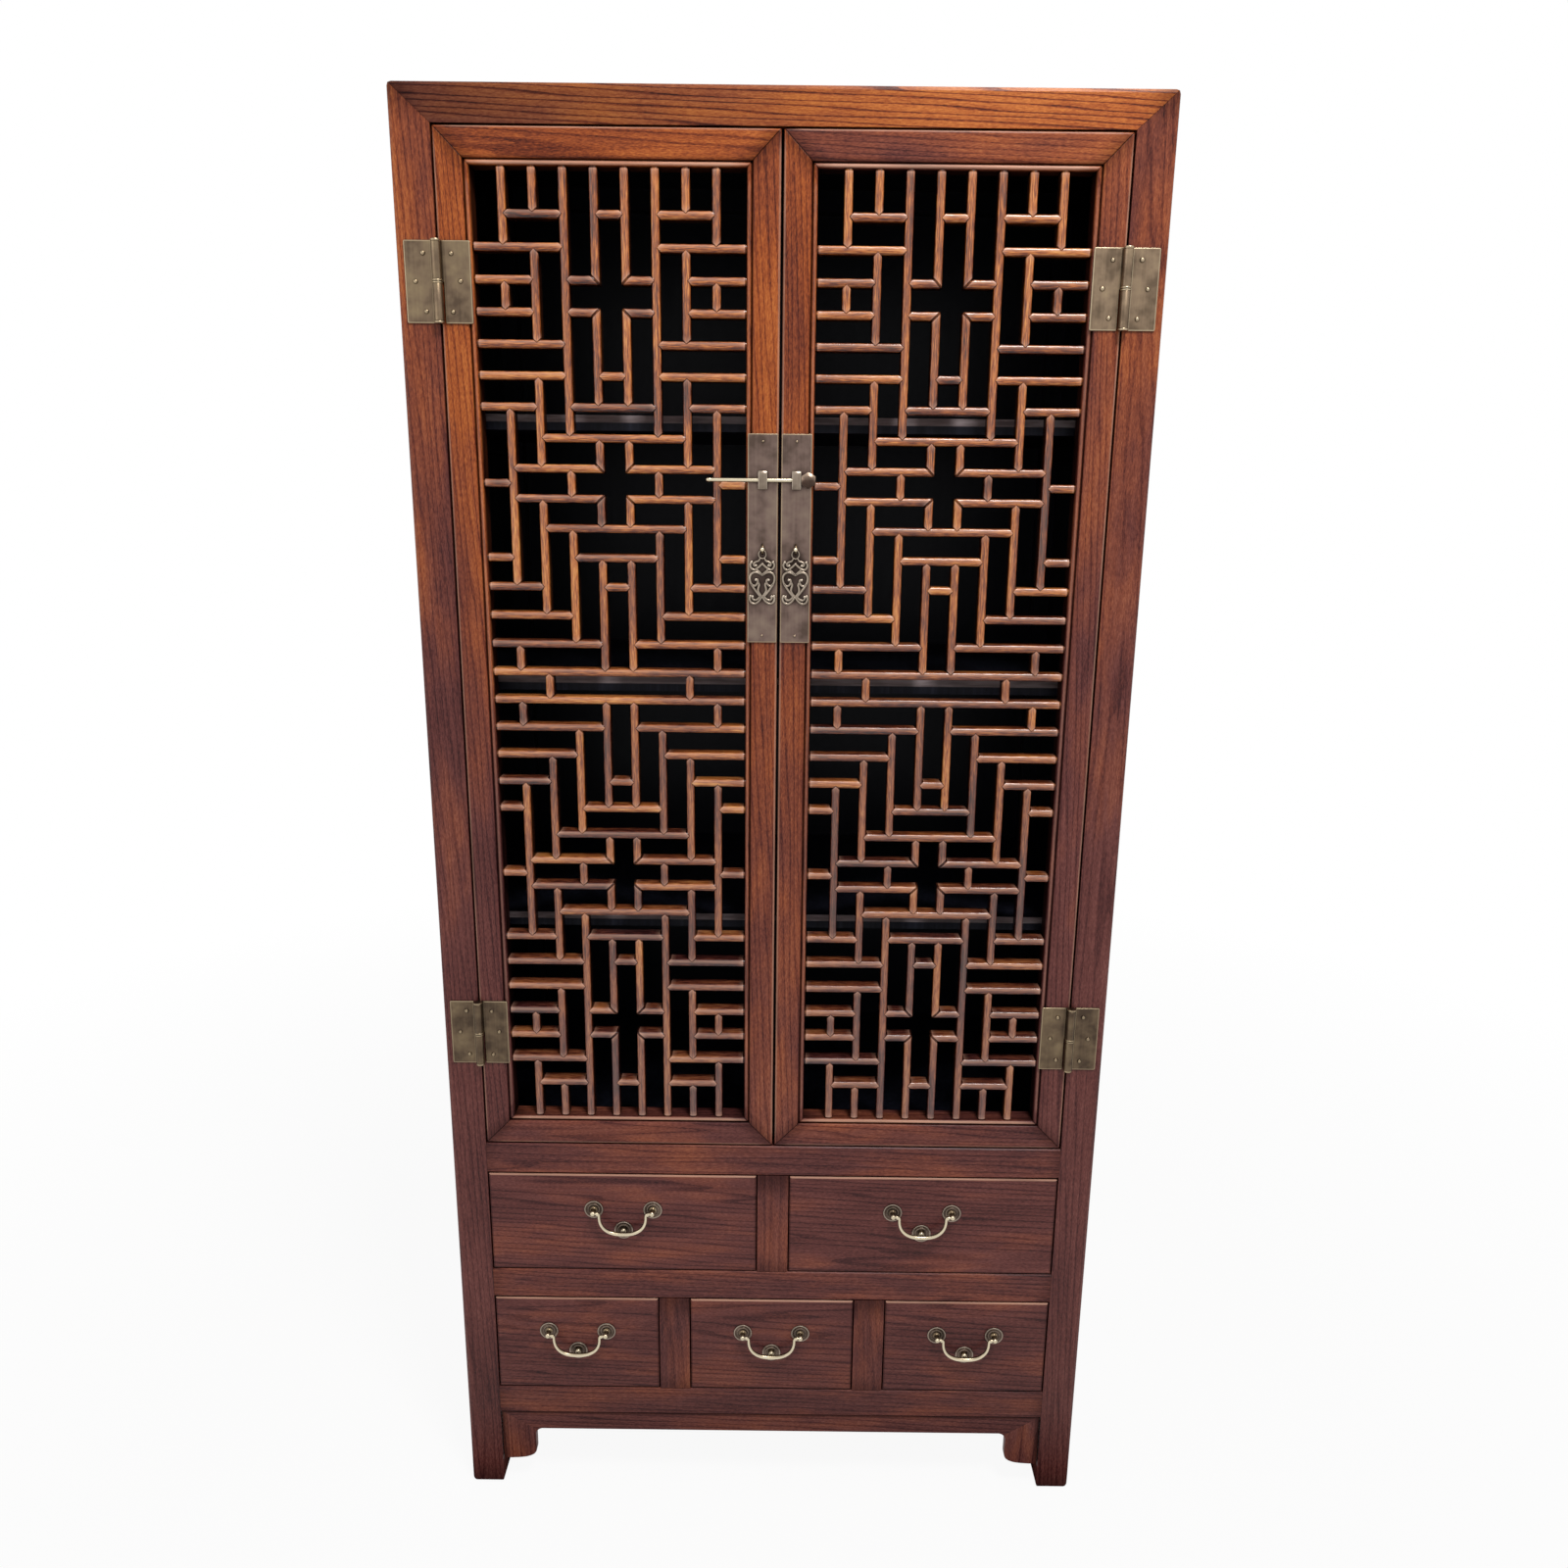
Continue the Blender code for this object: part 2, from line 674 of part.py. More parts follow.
def make_back(posts, top_tongue, frame):
    """The back panel with its upper and lower rail, in the grooves of the back posts."""
    low = (-INNER + SEAT, BACK_INNER, BOTTOM_RAIL_Z)
    high = (INNER - SEAT, BACK_INNER + PANEL_THICKNESS, TOP_RAIL_Z + TOP_RAIL_HEIGHT / 4)
    panel = box("back_panel", low, high, ELM)
    tongue_low, tongue_high = tongue_box(low, high, 1, TONGUE_LENGTH)
    tongue_low.z = BOTTOM_RAIL_Z + TONGUE_LENGTH
    tongue_high.z = TOP_RAIL_Z - TONGUE_LENGTH
    join_box(panel, tongue_low, tongue_high)
    rail_low = (-INNER + SEAT, BACK_INNER, BOTTOM_RAIL_Z)
    join_box(panel, rail_low, (INNER - SEAT, BACK, SMALL_OPENING_Z))
    top_rail = long_top_rail("top_rail_back", True)
    boolean(panel, top_rail, "UNION")
    cut_box(panel, *grown(*top_tongue, SEAT))
    for post in posts:
        cut_box(post, *grown(tongue_low, tongue_high, SEAT))
    carry(panel, frame)


def front_rail(name, low_z, height, posts, frame):
    """A front rail between the posts, with a tenon in a mortise at each end."""
    low = (-INNER + SEAT, FRONT, low_z)
    high = (INNER - SEAT, FRONT + RAIL_DEPTH, low_z + height)
    bm = box_bmesh(low, high)
    for top in (-1, 1):
        round_edges(bm, edges_at(bm, low, high, [(1, -1), (2, top)]), RAIL_EASE, 1)
    rail = finish(bm, name, (Vector(low) + Vector(high)) / 2, ELM)
    middle_y = FRONT + RAIL_DEPTH / 2
    reach = INNER + TENON_LENGTH
    tenon_low = Vector((-reach, middle_y - TENON_THICKNESS / 2, low_z + TENON_SHOULDER))
    tenon_high = Vector((reach, middle_y + TENON_THICKNESS / 2, low_z + height - TENON_SHOULDER))
    join_box(rail, tenon_low, tenon_high)
    for post in posts:
        cut_box(post, *grown(tenon_low, tenon_high, SEAT))
    carry(rail, frame)


def make_divider(name, centre_x, low_z, height, frame):
    """An upright between two drawers, with the guide and runner that carry them behind it."""
    half = DIVIDER_WIDTH / 2
    low = (centre_x - half, FRONT, low_z + SEAT)
    high = (centre_x + half, FRONT + RAIL_DEPTH, low_z + height - SEAT)
    divider = box(name, low, high, ELM)
    behind_rail = FRONT + RAIL_DEPTH + SEAT
    end = BACK_INNER - SEAT
    guide_top = low_z + GUIDE_HEIGHT
    runner_bottom = low_z - RUNNER_THICKNESS
    join_box(divider, (low[0], FRONT + RAIL_DEPTH / 2, low_z + SEAT), (high[0], end, guide_top))
    join_box(divider, (low[0], behind_rail, runner_bottom), (high[0], end, guide_top - SEAT))
    join_box(
        divider, (low[0] - RUNNER_WIDTH, behind_rail, runner_bottom), (high[0] + RUNNER_WIDTH, end, low_z),
    )
    carry(divider, frame)


def make_apron(frame):
    """The apron under the bottom rail: a shallow board that drops to a spandrel at each post."""
    half = INNER - APRON_END_GAP
    top = BOTTOM_RAIL_Z - SEAT
    inner = half - SPANDREL_WIDTH
    foot = APRON_CLEARANCE - SPANDREL_DROP
    right = [(half, top), (half, foot)]
    for step in range(1, SPANDREL_STEPS + 1):
        angle = math.pi / 2 * step / SPANDREL_STEPS
        across = 1 - math.sin(angle) ** (2 / SPANDREL_FULLNESS)
        up = 1 - max(0.0, math.cos(angle)) ** (2 / SPANDREL_FULLNESS)
        right.append((inner + SPANDREL_SWEEP * across, foot + SPANDREL_ROUND * up))
    fillet_at = (inner - SPANDREL_FILLET, APRON_CLEARANCE - SPANDREL_FILLET)
    right += arc(fillet_at, SPANDREL_FILLET, 0, 90, SPANDREL_STEPS)
    left = [(-x, z) for x, z in reversed(right)]
    origin = (0.0, FRONT + APRON_SETBACK + APRON_THICKNESS / 2, 0.0)
    apron = flat_outline("apron_front", [(right + left, False)], APRON_THICKNESS, origin, ELM)
    carry(apron, frame)


def make_board(name, top, front, frame):
    """A shelf or floor board between the panels, notched round the posts."""
    low = (-PANEL_INNER + SEAT, front, top - SHELF_THICKNESS)
    high = (PANEL_INNER - SEAT, BACK_INNER - SEAT, top)
    board = box(name, low, high, LACQUER)
    for side in (-1, 1):
        low_x, high_x = span(side, INNER, WIDTH / 2)
        for start, end in ((FRONT, FRONT + POST), (BACK - POST, BACK)):
            if end > front:
                cut_box(board, *grown((low_x, start, low[2]), (high_x, end, top), SEAT))
    carry(board, frame)


def make_carcase():
    """All fixed woodwork."""
    frame = pivot("carcase", (0.0, 0.0, 0.0))
    front_posts = [make_post(side, False, frame) for side in (-1, 1)]
    back_posts = [make_post(side, True, frame) for side in (-1, 1)]
    top_tongue, rails = make_top(frame)
    for index, side in enumerate((-1, 1)):
        make_side(side, [front_posts[index], back_posts[index]], rails[1 + index], frame)
    make_back(back_posts, top_tongue, frame)
    front_rail("sill_rail", SILL_RAIL_Z, SILL_RAIL_HEIGHT, front_posts, frame)
    front_rail("drawer_rail_middle", MIDDLE_RAIL_Z, MIDDLE_RAIL_HEIGHT, front_posts, frame)
    front_rail("bottom_rail_front", BOTTOM_RAIL_Z, BOTTOM_RAIL_HEIGHT, front_posts, frame)
    make_divider("drawer_divider_upper", 0.0, LARGE_OPENING_Z, LARGE_OPENING_HEIGHT, frame)
    for side in (-1, 1):
        centre_x = side * (small_opening() + DIVIDER_WIDTH) / 2
        name = "drawer_divider_lower_" + side_name(side)
        make_divider(name, centre_x, SMALL_OPENING_Z, SMALL_OPENING_HEIGHT, frame)
    make_apron(frame)
    levels = board_levels()
    make_board("cabinet_floor", levels[0], FRONT + RAIL_DEPTH + SEAT, frame)
    for name, level in zip(("shelf_lower", "shelf_middle", "shelf_upper"), levels[1:]):
        make_board(name, level, BEHIND_POST, frame)
    return frame


def small_opening():
    """The width of each of the three lower drawer openings."""
    return (2 * INNER - 2 * DIVIDER_WIDTH) / 3


def large_opening():
    """The width of each of the two upper drawer openings."""
    return (2 * INNER - DIVIDER_WIDTH) / 2


# Doors

def moulded_section(width):
    """A door member's section from its outer edge inward, as places across and depths from the face:
    eased outer edge, flat face, slope, quirk, and a bead along the inner edge."""
    turn = DOOR_EASE * DOOR_EASE_TURN
    bead = width - BEAD_WIDTH
    quirk = bead - QUIRK_WIDTH
    crest = (BEAD_WIDTH - BEAD_FLAT) / 2
    return [
        (0.0, DOOR_THICKNESS), (0.0, DOOR_EASE), (turn, turn), (DOOR_EASE, 0.0),
        (quirk - MOULD_SLOPE, 0.0), (quirk, MOULD_DROP), (quirk, QUIRK_DEPTH), (bead, QUIRK_DEPTH),
        (bead + crest, BEAD_DROP), (width - crest, BEAD_DROP), (width, QUIRK_DEPTH), (width, DOOR_THICKNESS),
    ]


def door_member(name, low, high, corners, is_stile, outer, pivot_empty):
    """A stile or rail of a door frame: its section carried along it from the outer edge, which is on the
    low side for outer -1 and on the high side for 1, and mitred at its ends."""
    across = 0 if is_stile else 2
    bm = bmesh.new()
    verts = []
    for place_across, depth in moulded_section(high[across] - low[across]):
        point = Vector(low)
        point.y += depth
        point[across] = low[across] + place_across if outer < 0 else high[across] - place_across
        verts.append(bm.verts.new(point))
    draw_out(bm, bm.faces.new(verts), 2 - across, high[2 - across] - low[2 - across])
    for corner, inward_x, outward_z in corners:
        normal = Vector((DOOR_RAIL_HEIGHT * inward_x, 0.0, STILE_WIDTH * outward_z))
        trim(bm, corner, normal if is_stile else -normal)
    member = finish(bm, name, (Vector(low) + Vector(high)) / 2, ELM)
    carry(member, pivot_empty)


def make_door_frame(side, door):
    """The four mitred members of a door."""
    low_x, high_x = span(side, DOOR_MEETING, DOOR_OUTER)
    front, back = FRONT, FRONT + DOOR_THICKNESS
    corners = {
        (end, level): (Vector((low_x if end < 0 else high_x, 0.0, DOOR_BOTTOM if level < 0 else DOOR_TOP)),
                       -end, level)
        for end in (-1, 1) for level in (-1, 1)
    }
    prefix = side_name(side) + "_door_"
    for end in (-1, 1):
        member_x = (low_x, low_x + STILE_WIDTH) if end < 0 else (high_x - STILE_WIDTH, high_x)
        kind = "stile_outer" if end == side else "stile_meeting"
        door_member(
            prefix + kind, (member_x[0], front, DOOR_BOTTOM), (member_x[1], back, DOOR_TOP),
            [corners[end, -1], corners[end, 1]], True, end, door,
        )
    for level, kind in ((-1, "rail_bottom"), (1, "rail_top")):
        low_z = DOOR_BOTTOM if level < 0 else DOOR_TOP - DOOR_RAIL_HEIGHT
        door_member(
            prefix + kind, (low_x, front, low_z), (high_x, back, low_z + DOOR_RAIL_HEIGHT),
            [corners[-1, level], corners[1, level]], False, level, door,
        )


def mirrored(lines, along_count, across_count):
    """All four mirror images of lattice lines given as (line, start, end), without repeats."""
    whole = set()
    for line, start, end in lines:
        for image in (line, across_count - line):
            whole.add((image, start, end))
            whole.add((image, along_count - end, along_count - start))
    return sorted(whole)


def overrun(line, end, others):
    """How far a bar runs past the line where it ends: to the far side of a corner, else not at all."""
    passes = any(other == end and start < line < stop for other, start, stop in others)
    return 0.0 if passes else BAR_WIDTH / 2


def add_bar(bm, centre, start, end, upright):
    """Adds a bar to a bmesh: a crowned section at a place on one axis, drawn out along the other."""
    half = BAR_WIDTH / 2
    flat = BAR_FLAT / 2
    front = FRONT + LATTICE_SETBACK
    shoulder = front + BAR_CROWN
    back = front + BAR_DEPTH
    section = [(half, back), (-half, back), (-half, shoulder), (-flat, front), (flat, front), (half, shoulder)]
    verts = []
    for across, y in section:
        point = (centre + across, y, start) if upright else (start, y, centre + across)
        verts.append(bm.verts.new(point))
    draw_out(bm, bm.faces.new(verts), 2 if upright else 0, end - start)


def make_lattice(side, door):
    """A door's lattice: crossbars and uprights of one section, joined where they meet."""
    low_x, high_x = span(side, DOOR_MEETING, DOOR_OUTER)
    left, right = low_x + STILE_WIDTH, high_x - STILE_WIDTH
    bottom, top = DOOR_BOTTOM + DOOR_RAIL_HEIGHT, DOOR_TOP - DOOR_RAIL_HEIGHT
    column_pitch = (right - left) / LATTICE_COLUMNS
    row_pitch = (top - bottom) / (LATTICE_ROWS + 2 * LATTICE_MARGIN)
    uprights = mirrored(UPRIGHTS, LATTICE_ROWS, LATTICE_COLUMNS)
    crossbars = mirrored(CROSSBARS, LATTICE_COLUMNS, LATTICE_ROWS)

    def column_x(column):
        return left + column * column_pitch

    def row_z(row):
        return top - (row + LATTICE_MARGIN) * row_pitch

    across = bmesh.new()
    for row, start, end in crossbars:
        low = left + SEAT if start == 0 else column_x(start) - overrun(row, start, uprights)
        high = right - SEAT if end == LATTICE_COLUMNS else column_x(end) + overrun(row, end, uprights)
        add_bar(across, row_z(row), low, high, False)
    upright = bmesh.new()
    for column, start, end in uprights:
        high = top - SEAT if start < 0 else row_z(start) + overrun(column, start, crossbars)
        low = bottom + SEAT if end > LATTICE_ROWS else row_z(end) - overrun(column, end, crossbars)
        add_bar(upright, column_x(column), low, high, True)
    origin = ((left + right) / 2, FRONT + LATTICE_SETBACK, (bottom + top) / 2)
    lattice = finish(across, side_name(side) + "_door_lattice", origin, ELM)
    boolean(lattice, finish(upright, lattice.name + "_uprights", origin, ELM), "UNION")
    carry(lattice, door)


# Hinges: the frame leaf has the lower knuckle and the pin, the door leaf the upper knuckle

def make_hinge(side, centre_z, level, frame, door):
    """A lift-off hinge on the faces of a post and a door stile."""
    axis_x = side * HINGE_X
    low_z, high_z = centre_z - HINGE_HEIGHT / 2, centre_z + HINGE_HEIGHT / 2
    split = centre_z
    leaf_back, leaf_front = FRONT - SEAT, FRONT - SEAT - LEAF_THICKNESS
    clear = BARREL_RADIUS + BARREL_CLEARANCE
    for outward, holder in ((side, frame), (-side, door)):
        on_frame = outward == side
        name = f"hinge_{level}_{side_name(side)}_" + ("frame_leaf" if on_frame else "door_leaf")
        far, near = axis_x + outward * LEAF_WIDTH, axis_x + outward * clear
        low_x, high_x = sorted((far, near))
        leaf = box(name, (low_x, leaf_front, low_z), (high_x, leaf_back, high_z), BRASS)
        knuckle = (low_z, split - SEAT / 2) if on_frame else (split + SEAT / 2, high_z)
        web_low, web_high = sorted((axis_x, near + outward * LEAF_THICKNESS))
        join_box(leaf, (web_low, leaf_front, knuckle[0]), (web_high, leaf_back, knuckle[1]))
        bottom, top = (axis_x, HINGE_Y, knuckle[0]), (axis_x, HINGE_Y, knuckle[1])
        join_cylinder(leaf, BARREL_RADIUS, bottom, top, BARREL_SIDES)
        if on_frame:
            pin_low = (axis_x, HINGE_Y, centre_z - HINGE_HEIGHT / 4)
            join_cylinder(leaf, HINGE_PIN_RADIUS, pin_low, (axis_x, HINGE_Y, high_z), BORE_SIDES)
        else:
            bore = (HINGE_PIN_RADIUS + HINGE_PIN_PLAY) / math.cos(math.pi / BORE_SIDES)
            cut_cylinder(leaf, bore, bottom[:2] + (split - SEAT,), top[:2] + (high_z + SEAT,), BORE_SIDES)
        carry(leaf, holder)


def make_doors(frame):
    """Both doors with their hinges; returns the empties on their hinge lines."""
    doors = {}
    for side in (-1, 1):
        door = pivot(side_name(side) + "_door", (side * HINGE_X, HINGE_Y, DOOR_BOTTOM))
        make_door_frame(side, door)
        make_lattice(side, door)
        make_hinge(side, DOOR_TOP - HINGE_INSET, "upper", frame, door)
        make_hinge(side, DOOR_BOTTOM + HINGE_INSET, "lower", frame, door)
        doors[side] = door
    return doors


# Lock: two plates with a lug and an eye each, a pin through both lugs, and two drop pulls

def make_plate(side, door):
    """A lock plate on a meeting stile, with its bored lug and the eye of its pull."""
    centre_x = side * PLATE_X
    plate_low = (centre_x - PLATE_WIDTH / 2, PLATE_FRONT, PLATE_CENTRE_HEIGHT - PLATE_HEIGHT / 2)
    plate_high = (centre_x + PLATE_WIDTH / 2, FRONT - SEAT, PLATE_CENTRE_HEIGHT + PLATE_HEIGHT / 2)
    plate = box("lock_plate_" + side_name(side), plate_low, plate_high, BRASS)
    inside = PLATE_FRONT + PLATE_THICKNESS / 2
    join_box(
        plate, (centre_x - LUG_WIDTH / 2, PLATE_FRONT - LUG_DEPTH, PIN_HEIGHT - LUG_HEIGHT / 2),
        (centre_x + LUG_WIDTH / 2, inside, PIN_HEIGHT + LUG_HEIGHT / 2),
    )
    bore = (PIN_RADIUS + SEAT) / math.cos(math.pi / BORE_SIDES)
    start, end = (centre_x - LUG_WIDTH, PIN_Y, PIN_HEIGHT), (centre_x + LUG_WIDTH, PIN_Y, PIN_HEIGHT)
    cut_cylinder(plate, bore, start, end, BORE_SIDES)
    root = PLATE_THICKNESS / 2
    loop = [(0.0, -y, z) for y, z in arc((0.0, 0.0), PULL_EYE_RADIUS, -90, 90, EYE_STEPS)]
    points = [(0.0, root, -PULL_EYE_RADIUS)] + loop + [(0.0, root, PULL_EYE_RADIUS)]
    origin = (centre_x, PLATE_FRONT, PULL_EYE_HEIGHT)
    eye = tube(plate.name + "_eye", points, [PULL_EYE_WIRE] * len(points), origin, BRASS)
    boolean(plate, mesh_of(eye), "UNION")
    carry(plate, door)


def pull_axis(side):
    """The point where a pull's ring hangs in its eye."""
    reach = PULL_STANDOFF + PULL_THICKNESS / 2
    return Vector((side * PLATE_X, PLATE_FRONT - reach, PULL_EYE_HEIGHT - PULL_SAG))


def in_metres(points):
    """Outline points of the pull in metres, from the middle of the top of its ring."""
    drop = PULL_RING_HOLE + PULL_RING_BAND / 2
    return [(x * MILLIMETRE, z * MILLIMETRE - drop) for x, z in points]


def flipped(points):
    """The mirror image of a loop."""
    return [(-x, z) for x, z in points]


def make_pull(side, door):
    """An openwork drop pull that swings on its ring."""
    outer = PULL_RING_HOLE + PULL_RING_BAND
    centre = (0.0, -PULL_RING_HOLE - PULL_RING_BAND / 2)
    half = arc(centre, outer, 90, RING_FOOT_ANGLE, RING_STEPS)[1:] + in_metres(PULL_OUTLINE)
    outline = [(0.0, centre[1] + outer)] + half + flipped(reversed(half))
    ring_hole = arc(centre, PULL_RING_HOLE, 0, 360 - 360 / RING_SIDES, RING_SIDES - 1)
    loops = [(outline, True), (ring_hole, False), (in_metres(PULL_DIAMOND), False)]
    loops.append((in_metres(PULL_VASE), True))
    for hole in (PULL_SIDE_HOLE, PULL_VOLUTE_HOLE):
        loops.append((in_metres(hole), True))
        loops.append((in_metres(flipped(hole)), True))
    axis = pivot("pull_axis_" + side_name(side), pull_axis(side), door)
    pull = flat_outline("pull_" + side_name(side), loops, PULL_THICKNESS, axis.location, BRASS)
    carry(pull, axis)


def make_pin(door):
    """The sliding pin through both lugs, with a hexagonal knob at its right end."""
    knob_side = KNOB_RADIUS * math.cos(math.pi / HEXAGON)
    knob_x = PLATE_X + LUG_WIDTH / 2 + SEAT + knob_side
    tip = -PLATE_X - PIN_TAIL
    origin = Vector((knob_x, PIN_Y, PIN_HEIGHT))
    rest = pivot("lock_pin_slide", origin, door)
    knob_back = Vector((knob_x, PLATE_FRONT - SEAT, PIN_HEIGHT))
    bm = cylinder_bmesh(KNOB_RADIUS, knob_back, knob_back - Vector((0.0, KNOB_DEPTH, 0.0)), HEXAGON)
    pin = finish(bm, "lock_pin", origin, BRONZE)
    join_cylinder(pin, PIN_RADIUS, (tip, PIN_Y, PIN_HEIGHT), (knob_x, PIN_Y, PIN_HEIGHT), BORE_SIDES)
    carry(pin, rest)


# Drawers

def rosette_profile():
    """Half section of a domed rosette from its edge down to inside the wood."""
    return [(ROSETTE_RADIUS, ROSETTE_EDGE), (ROSETTE_RADIUS, -ROSETTE_THICKNESS), (0.0, -ROSETTE_THICKNESS)]


def post_profile():
    """Half section of a handle post: ball, neck and rosette."""
    ball = []
    for turn in BALL_TURNS:
        angle = math.radians(turn)
        ball.append((BALL_RADIUS * math.sin(angle), BAIL_STANDOFF + BALL_RADIUS * math.cos(angle)))
    return ball + [(NECK_RADIUS, ROSETTE_THICKNESS)] + rosette_profile()


def strike_profile():
    """Half section of the domed rosette that the bail rests against."""
    dome = [(0.0, STRIKE_HEIGHT), (STRIKE_RADIUS, STRIKE_SHOULDER), (STRIKE_RADIUS, ROSETTE_THICKNESS)]
    return dome + rosette_profile()


def bail_path():
    """The right half of a bail's centre line from its socket to its lowest point, with radii."""
    socket_end = BAIL_BORING / 2 - BALL_RADIUS + SOCKET_DEPTH
    shoulder = BAIL_BORING / 2 - BALL_RADIUS - SEAT - BAIL_END_RADIUS
    points = [(socket_end - SEAT, 0.0)]
    points += arc((shoulder, -BAIL_BEND), BAIL_BEND, 90, 180, BEND_STEPS)
    half_width = shoulder - BAIL_BEND
    fall = BAIL_DROP - BAIL_BEND
    for step in range(1, BAIL_STEPS + 1):
        angle = math.pi / 2 * step / BAIL_STEPS
        x = half_width * max(0.0, math.cos(angle)) ** (2 / BAIL_SQUARENESS)
        points.append((x, -BAIL_BEND - fall * math.sin(angle) ** (2 / BAIL_SQUARENESS)))
    radii = []
    for x, _ in points:
        share = 1 - min(1.0, x / half_width) ** 2
        radii.append(BAIL_END_RADIUS + (BAIL_RADIUS - BAIL_END_RADIUS) * share)
    return points, radii


def make_bail(name, location, drawer):
    """A bail handle hung in the balls of its two posts."""
    half, half_radii = bail_path()
    points = [(x, 0.0, z) for x, z in half[:-1]]
    points += [(-x, 0.0, z) for x, z in reversed(half)]
    radii = half_radii[:-1] + list(reversed(half_radii))
    axis = pivot(name + "_axis", location, drawer)
    carry(tube(name, points, radii, location, BRASS), axis)


def make_drawer(position, centre_x, opening_width, low_z, opening_height):
    """A drawer: front board with handle posts, open tray, and bail."""
    half = opening_width / 2 - DRAWER_GAP
    low = (centre_x - half, FRONT, low_z + DRAWER_GAP)
    high = (centre_x + half, FRONT + DRAWER_FRONT_THICKNESS, low_z + opening_height - DRAWER_GAP)
    drawer = pivot("drawer_" + position, (centre_x, FRONT, low_z))
    bm = box_bmesh(low, high)
    around = [(0, -1), (0, 1), (2, -1), (2, 1)]
    edges = [edge for side in around for edge in edges_at(bm, low, high, [side, (1, -1)])]
    round_edges(bm, edges, DRAWER_EASE, 1)
    front = finish(bm, "drawer_front_" + position, (Vector(low) + Vector(high)) / 2, ELM)
    handle_z = high[2] - BAIL_BELOW_TOP
    for side in (-1, 1):
        ball_x = centre_x + side * BAIL_BORING / 2
        post = turned(front.name + "_post", post_profile(), (ball_x, FRONT, handle_z), TURNED_SIDES, BRASS)
        boolean(front, post, "UNION")
    strike_at = (centre_x, FRONT, handle_z - STRIKE_DROP)
    boolean(front, turned(front.name + "_strike", strike_profile(), strike_at, TURNED_SIDES, BRASS), "UNION")
    handle_y = FRONT - BAIL_STANDOFF
    for side in (-1, 1):
        mouth = centre_x + side * (BAIL_BORING / 2 - 2 * BALL_RADIUS)
        end = centre_x + side * (BAIL_BORING / 2 - BALL_RADIUS + SOCKET_DEPTH)
        cut_cylinder(front, SOCKET_RADIUS, (mouth, handle_y, handle_z), (end, handle_y, handle_z), BORE_SIDES)
    carry(front, drawer)
    tray_front = FRONT + DRAWER_FRONT_THICKNESS + SEAT
    tray_low = (centre_x - half, tray_front, low_z + SEAT)
    tray_high = (centre_x + half, BACK - POST - TRAY_BACK_GAP, low_z + SEAT + TRAY_HEIGHT)
    tray = box("drawer_tray_" + position, tray_low, tray_high, TRAY_WOOD)
    cut_box(
        tray, (tray_low[0] + TRAY_WALL, tray_front - TRAY_WALL, tray_low[2] + TRAY_FLOOR),
        (tray_high[0] - TRAY_WALL, tray_high[1] - TRAY_WALL, tray_high[2] + TRAY_WALL),
    )
    carry(tray, drawer)
    make_bail("bail_" + position, (centre_x, handle_y, handle_z), drawer)


def make_drawers():
    """Two wide drawers over three narrow ones."""
    for side in (-1, 1):
        centre_x = side * (large_opening() + DIVIDER_WIDTH) / 2
        make_drawer("upper_" + side_name(side), centre_x, large_opening(), LARGE_OPENING_Z, LARGE_OPENING_HEIGHT)
    for step, position in ((-1, "lower_left"), (0, "lower_middle"), (1, "lower_right")):
        centre_x = step * (small_opening() + DIVIDER_WIDTH)
        make_drawer(position, centre_x, small_opening(), SMALL_OPENING_Z, SMALL_OPENING_HEIGHT)


def main():
    """Builds the cabinet."""
    frame = make_carcase()
    doors = make_doors(frame)
    for side, door in doors.items():
        make_plate(side, door)
        make_pull(side, door)
    make_pin(doors[1])
    make_drawers()
    bpy.context.view_layer.update()


main()
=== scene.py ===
"""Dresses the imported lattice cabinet: stained elm, a dark lacquered inside and aged brass fittings."""
import math

import bpy
import numpy as np
from mathutils import Matrix, Vector


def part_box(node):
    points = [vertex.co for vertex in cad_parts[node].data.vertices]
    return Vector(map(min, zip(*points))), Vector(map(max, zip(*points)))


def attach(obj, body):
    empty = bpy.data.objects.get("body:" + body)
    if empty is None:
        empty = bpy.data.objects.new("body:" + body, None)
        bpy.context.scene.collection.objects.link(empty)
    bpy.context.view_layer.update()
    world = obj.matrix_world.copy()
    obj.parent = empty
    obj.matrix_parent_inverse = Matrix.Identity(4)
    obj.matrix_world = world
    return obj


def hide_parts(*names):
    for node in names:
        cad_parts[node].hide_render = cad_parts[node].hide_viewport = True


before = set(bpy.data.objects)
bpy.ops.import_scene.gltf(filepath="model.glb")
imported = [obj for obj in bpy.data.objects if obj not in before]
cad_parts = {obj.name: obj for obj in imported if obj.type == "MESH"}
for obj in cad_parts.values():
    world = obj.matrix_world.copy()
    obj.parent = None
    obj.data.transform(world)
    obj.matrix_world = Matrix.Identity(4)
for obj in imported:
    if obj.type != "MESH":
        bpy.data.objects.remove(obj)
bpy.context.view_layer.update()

MM = 0.001
SEED = 11
chance = np.random.default_rng(SEED)

# Order of the axes that puts the grain's direction first
GRAIN_ORDER = {"X": [0, 2, 1], "Y": [1, 0, 2], "Z": [2, 0, 1]}
SEAT = 0.3 * MM


def corners(node):
    """Lowest and highest corner of a CAD node, as arrays."""
    low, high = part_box(node)
    return np.array(low), np.array(high)


FACE, DOOR_BACK = (corner[1] for corner in corners("left_door_stile_outer"))
PANEL_INNER, BACK_INNER = corners("shelf_upper")[1][:2] + SEAT


# Materials

def linear(code):
    """An sRGB hex colour as linear red, green, blue and alpha."""
    values = np.array([int(code[place:place + 2], 16) for place in (1, 3, 5)]) / 255
    low = values / 12.92
    high = ((values + 0.055) / 1.055) ** 2.4
    return (*np.where(values <= 0.04045, low, high).tolist(), 1.0)


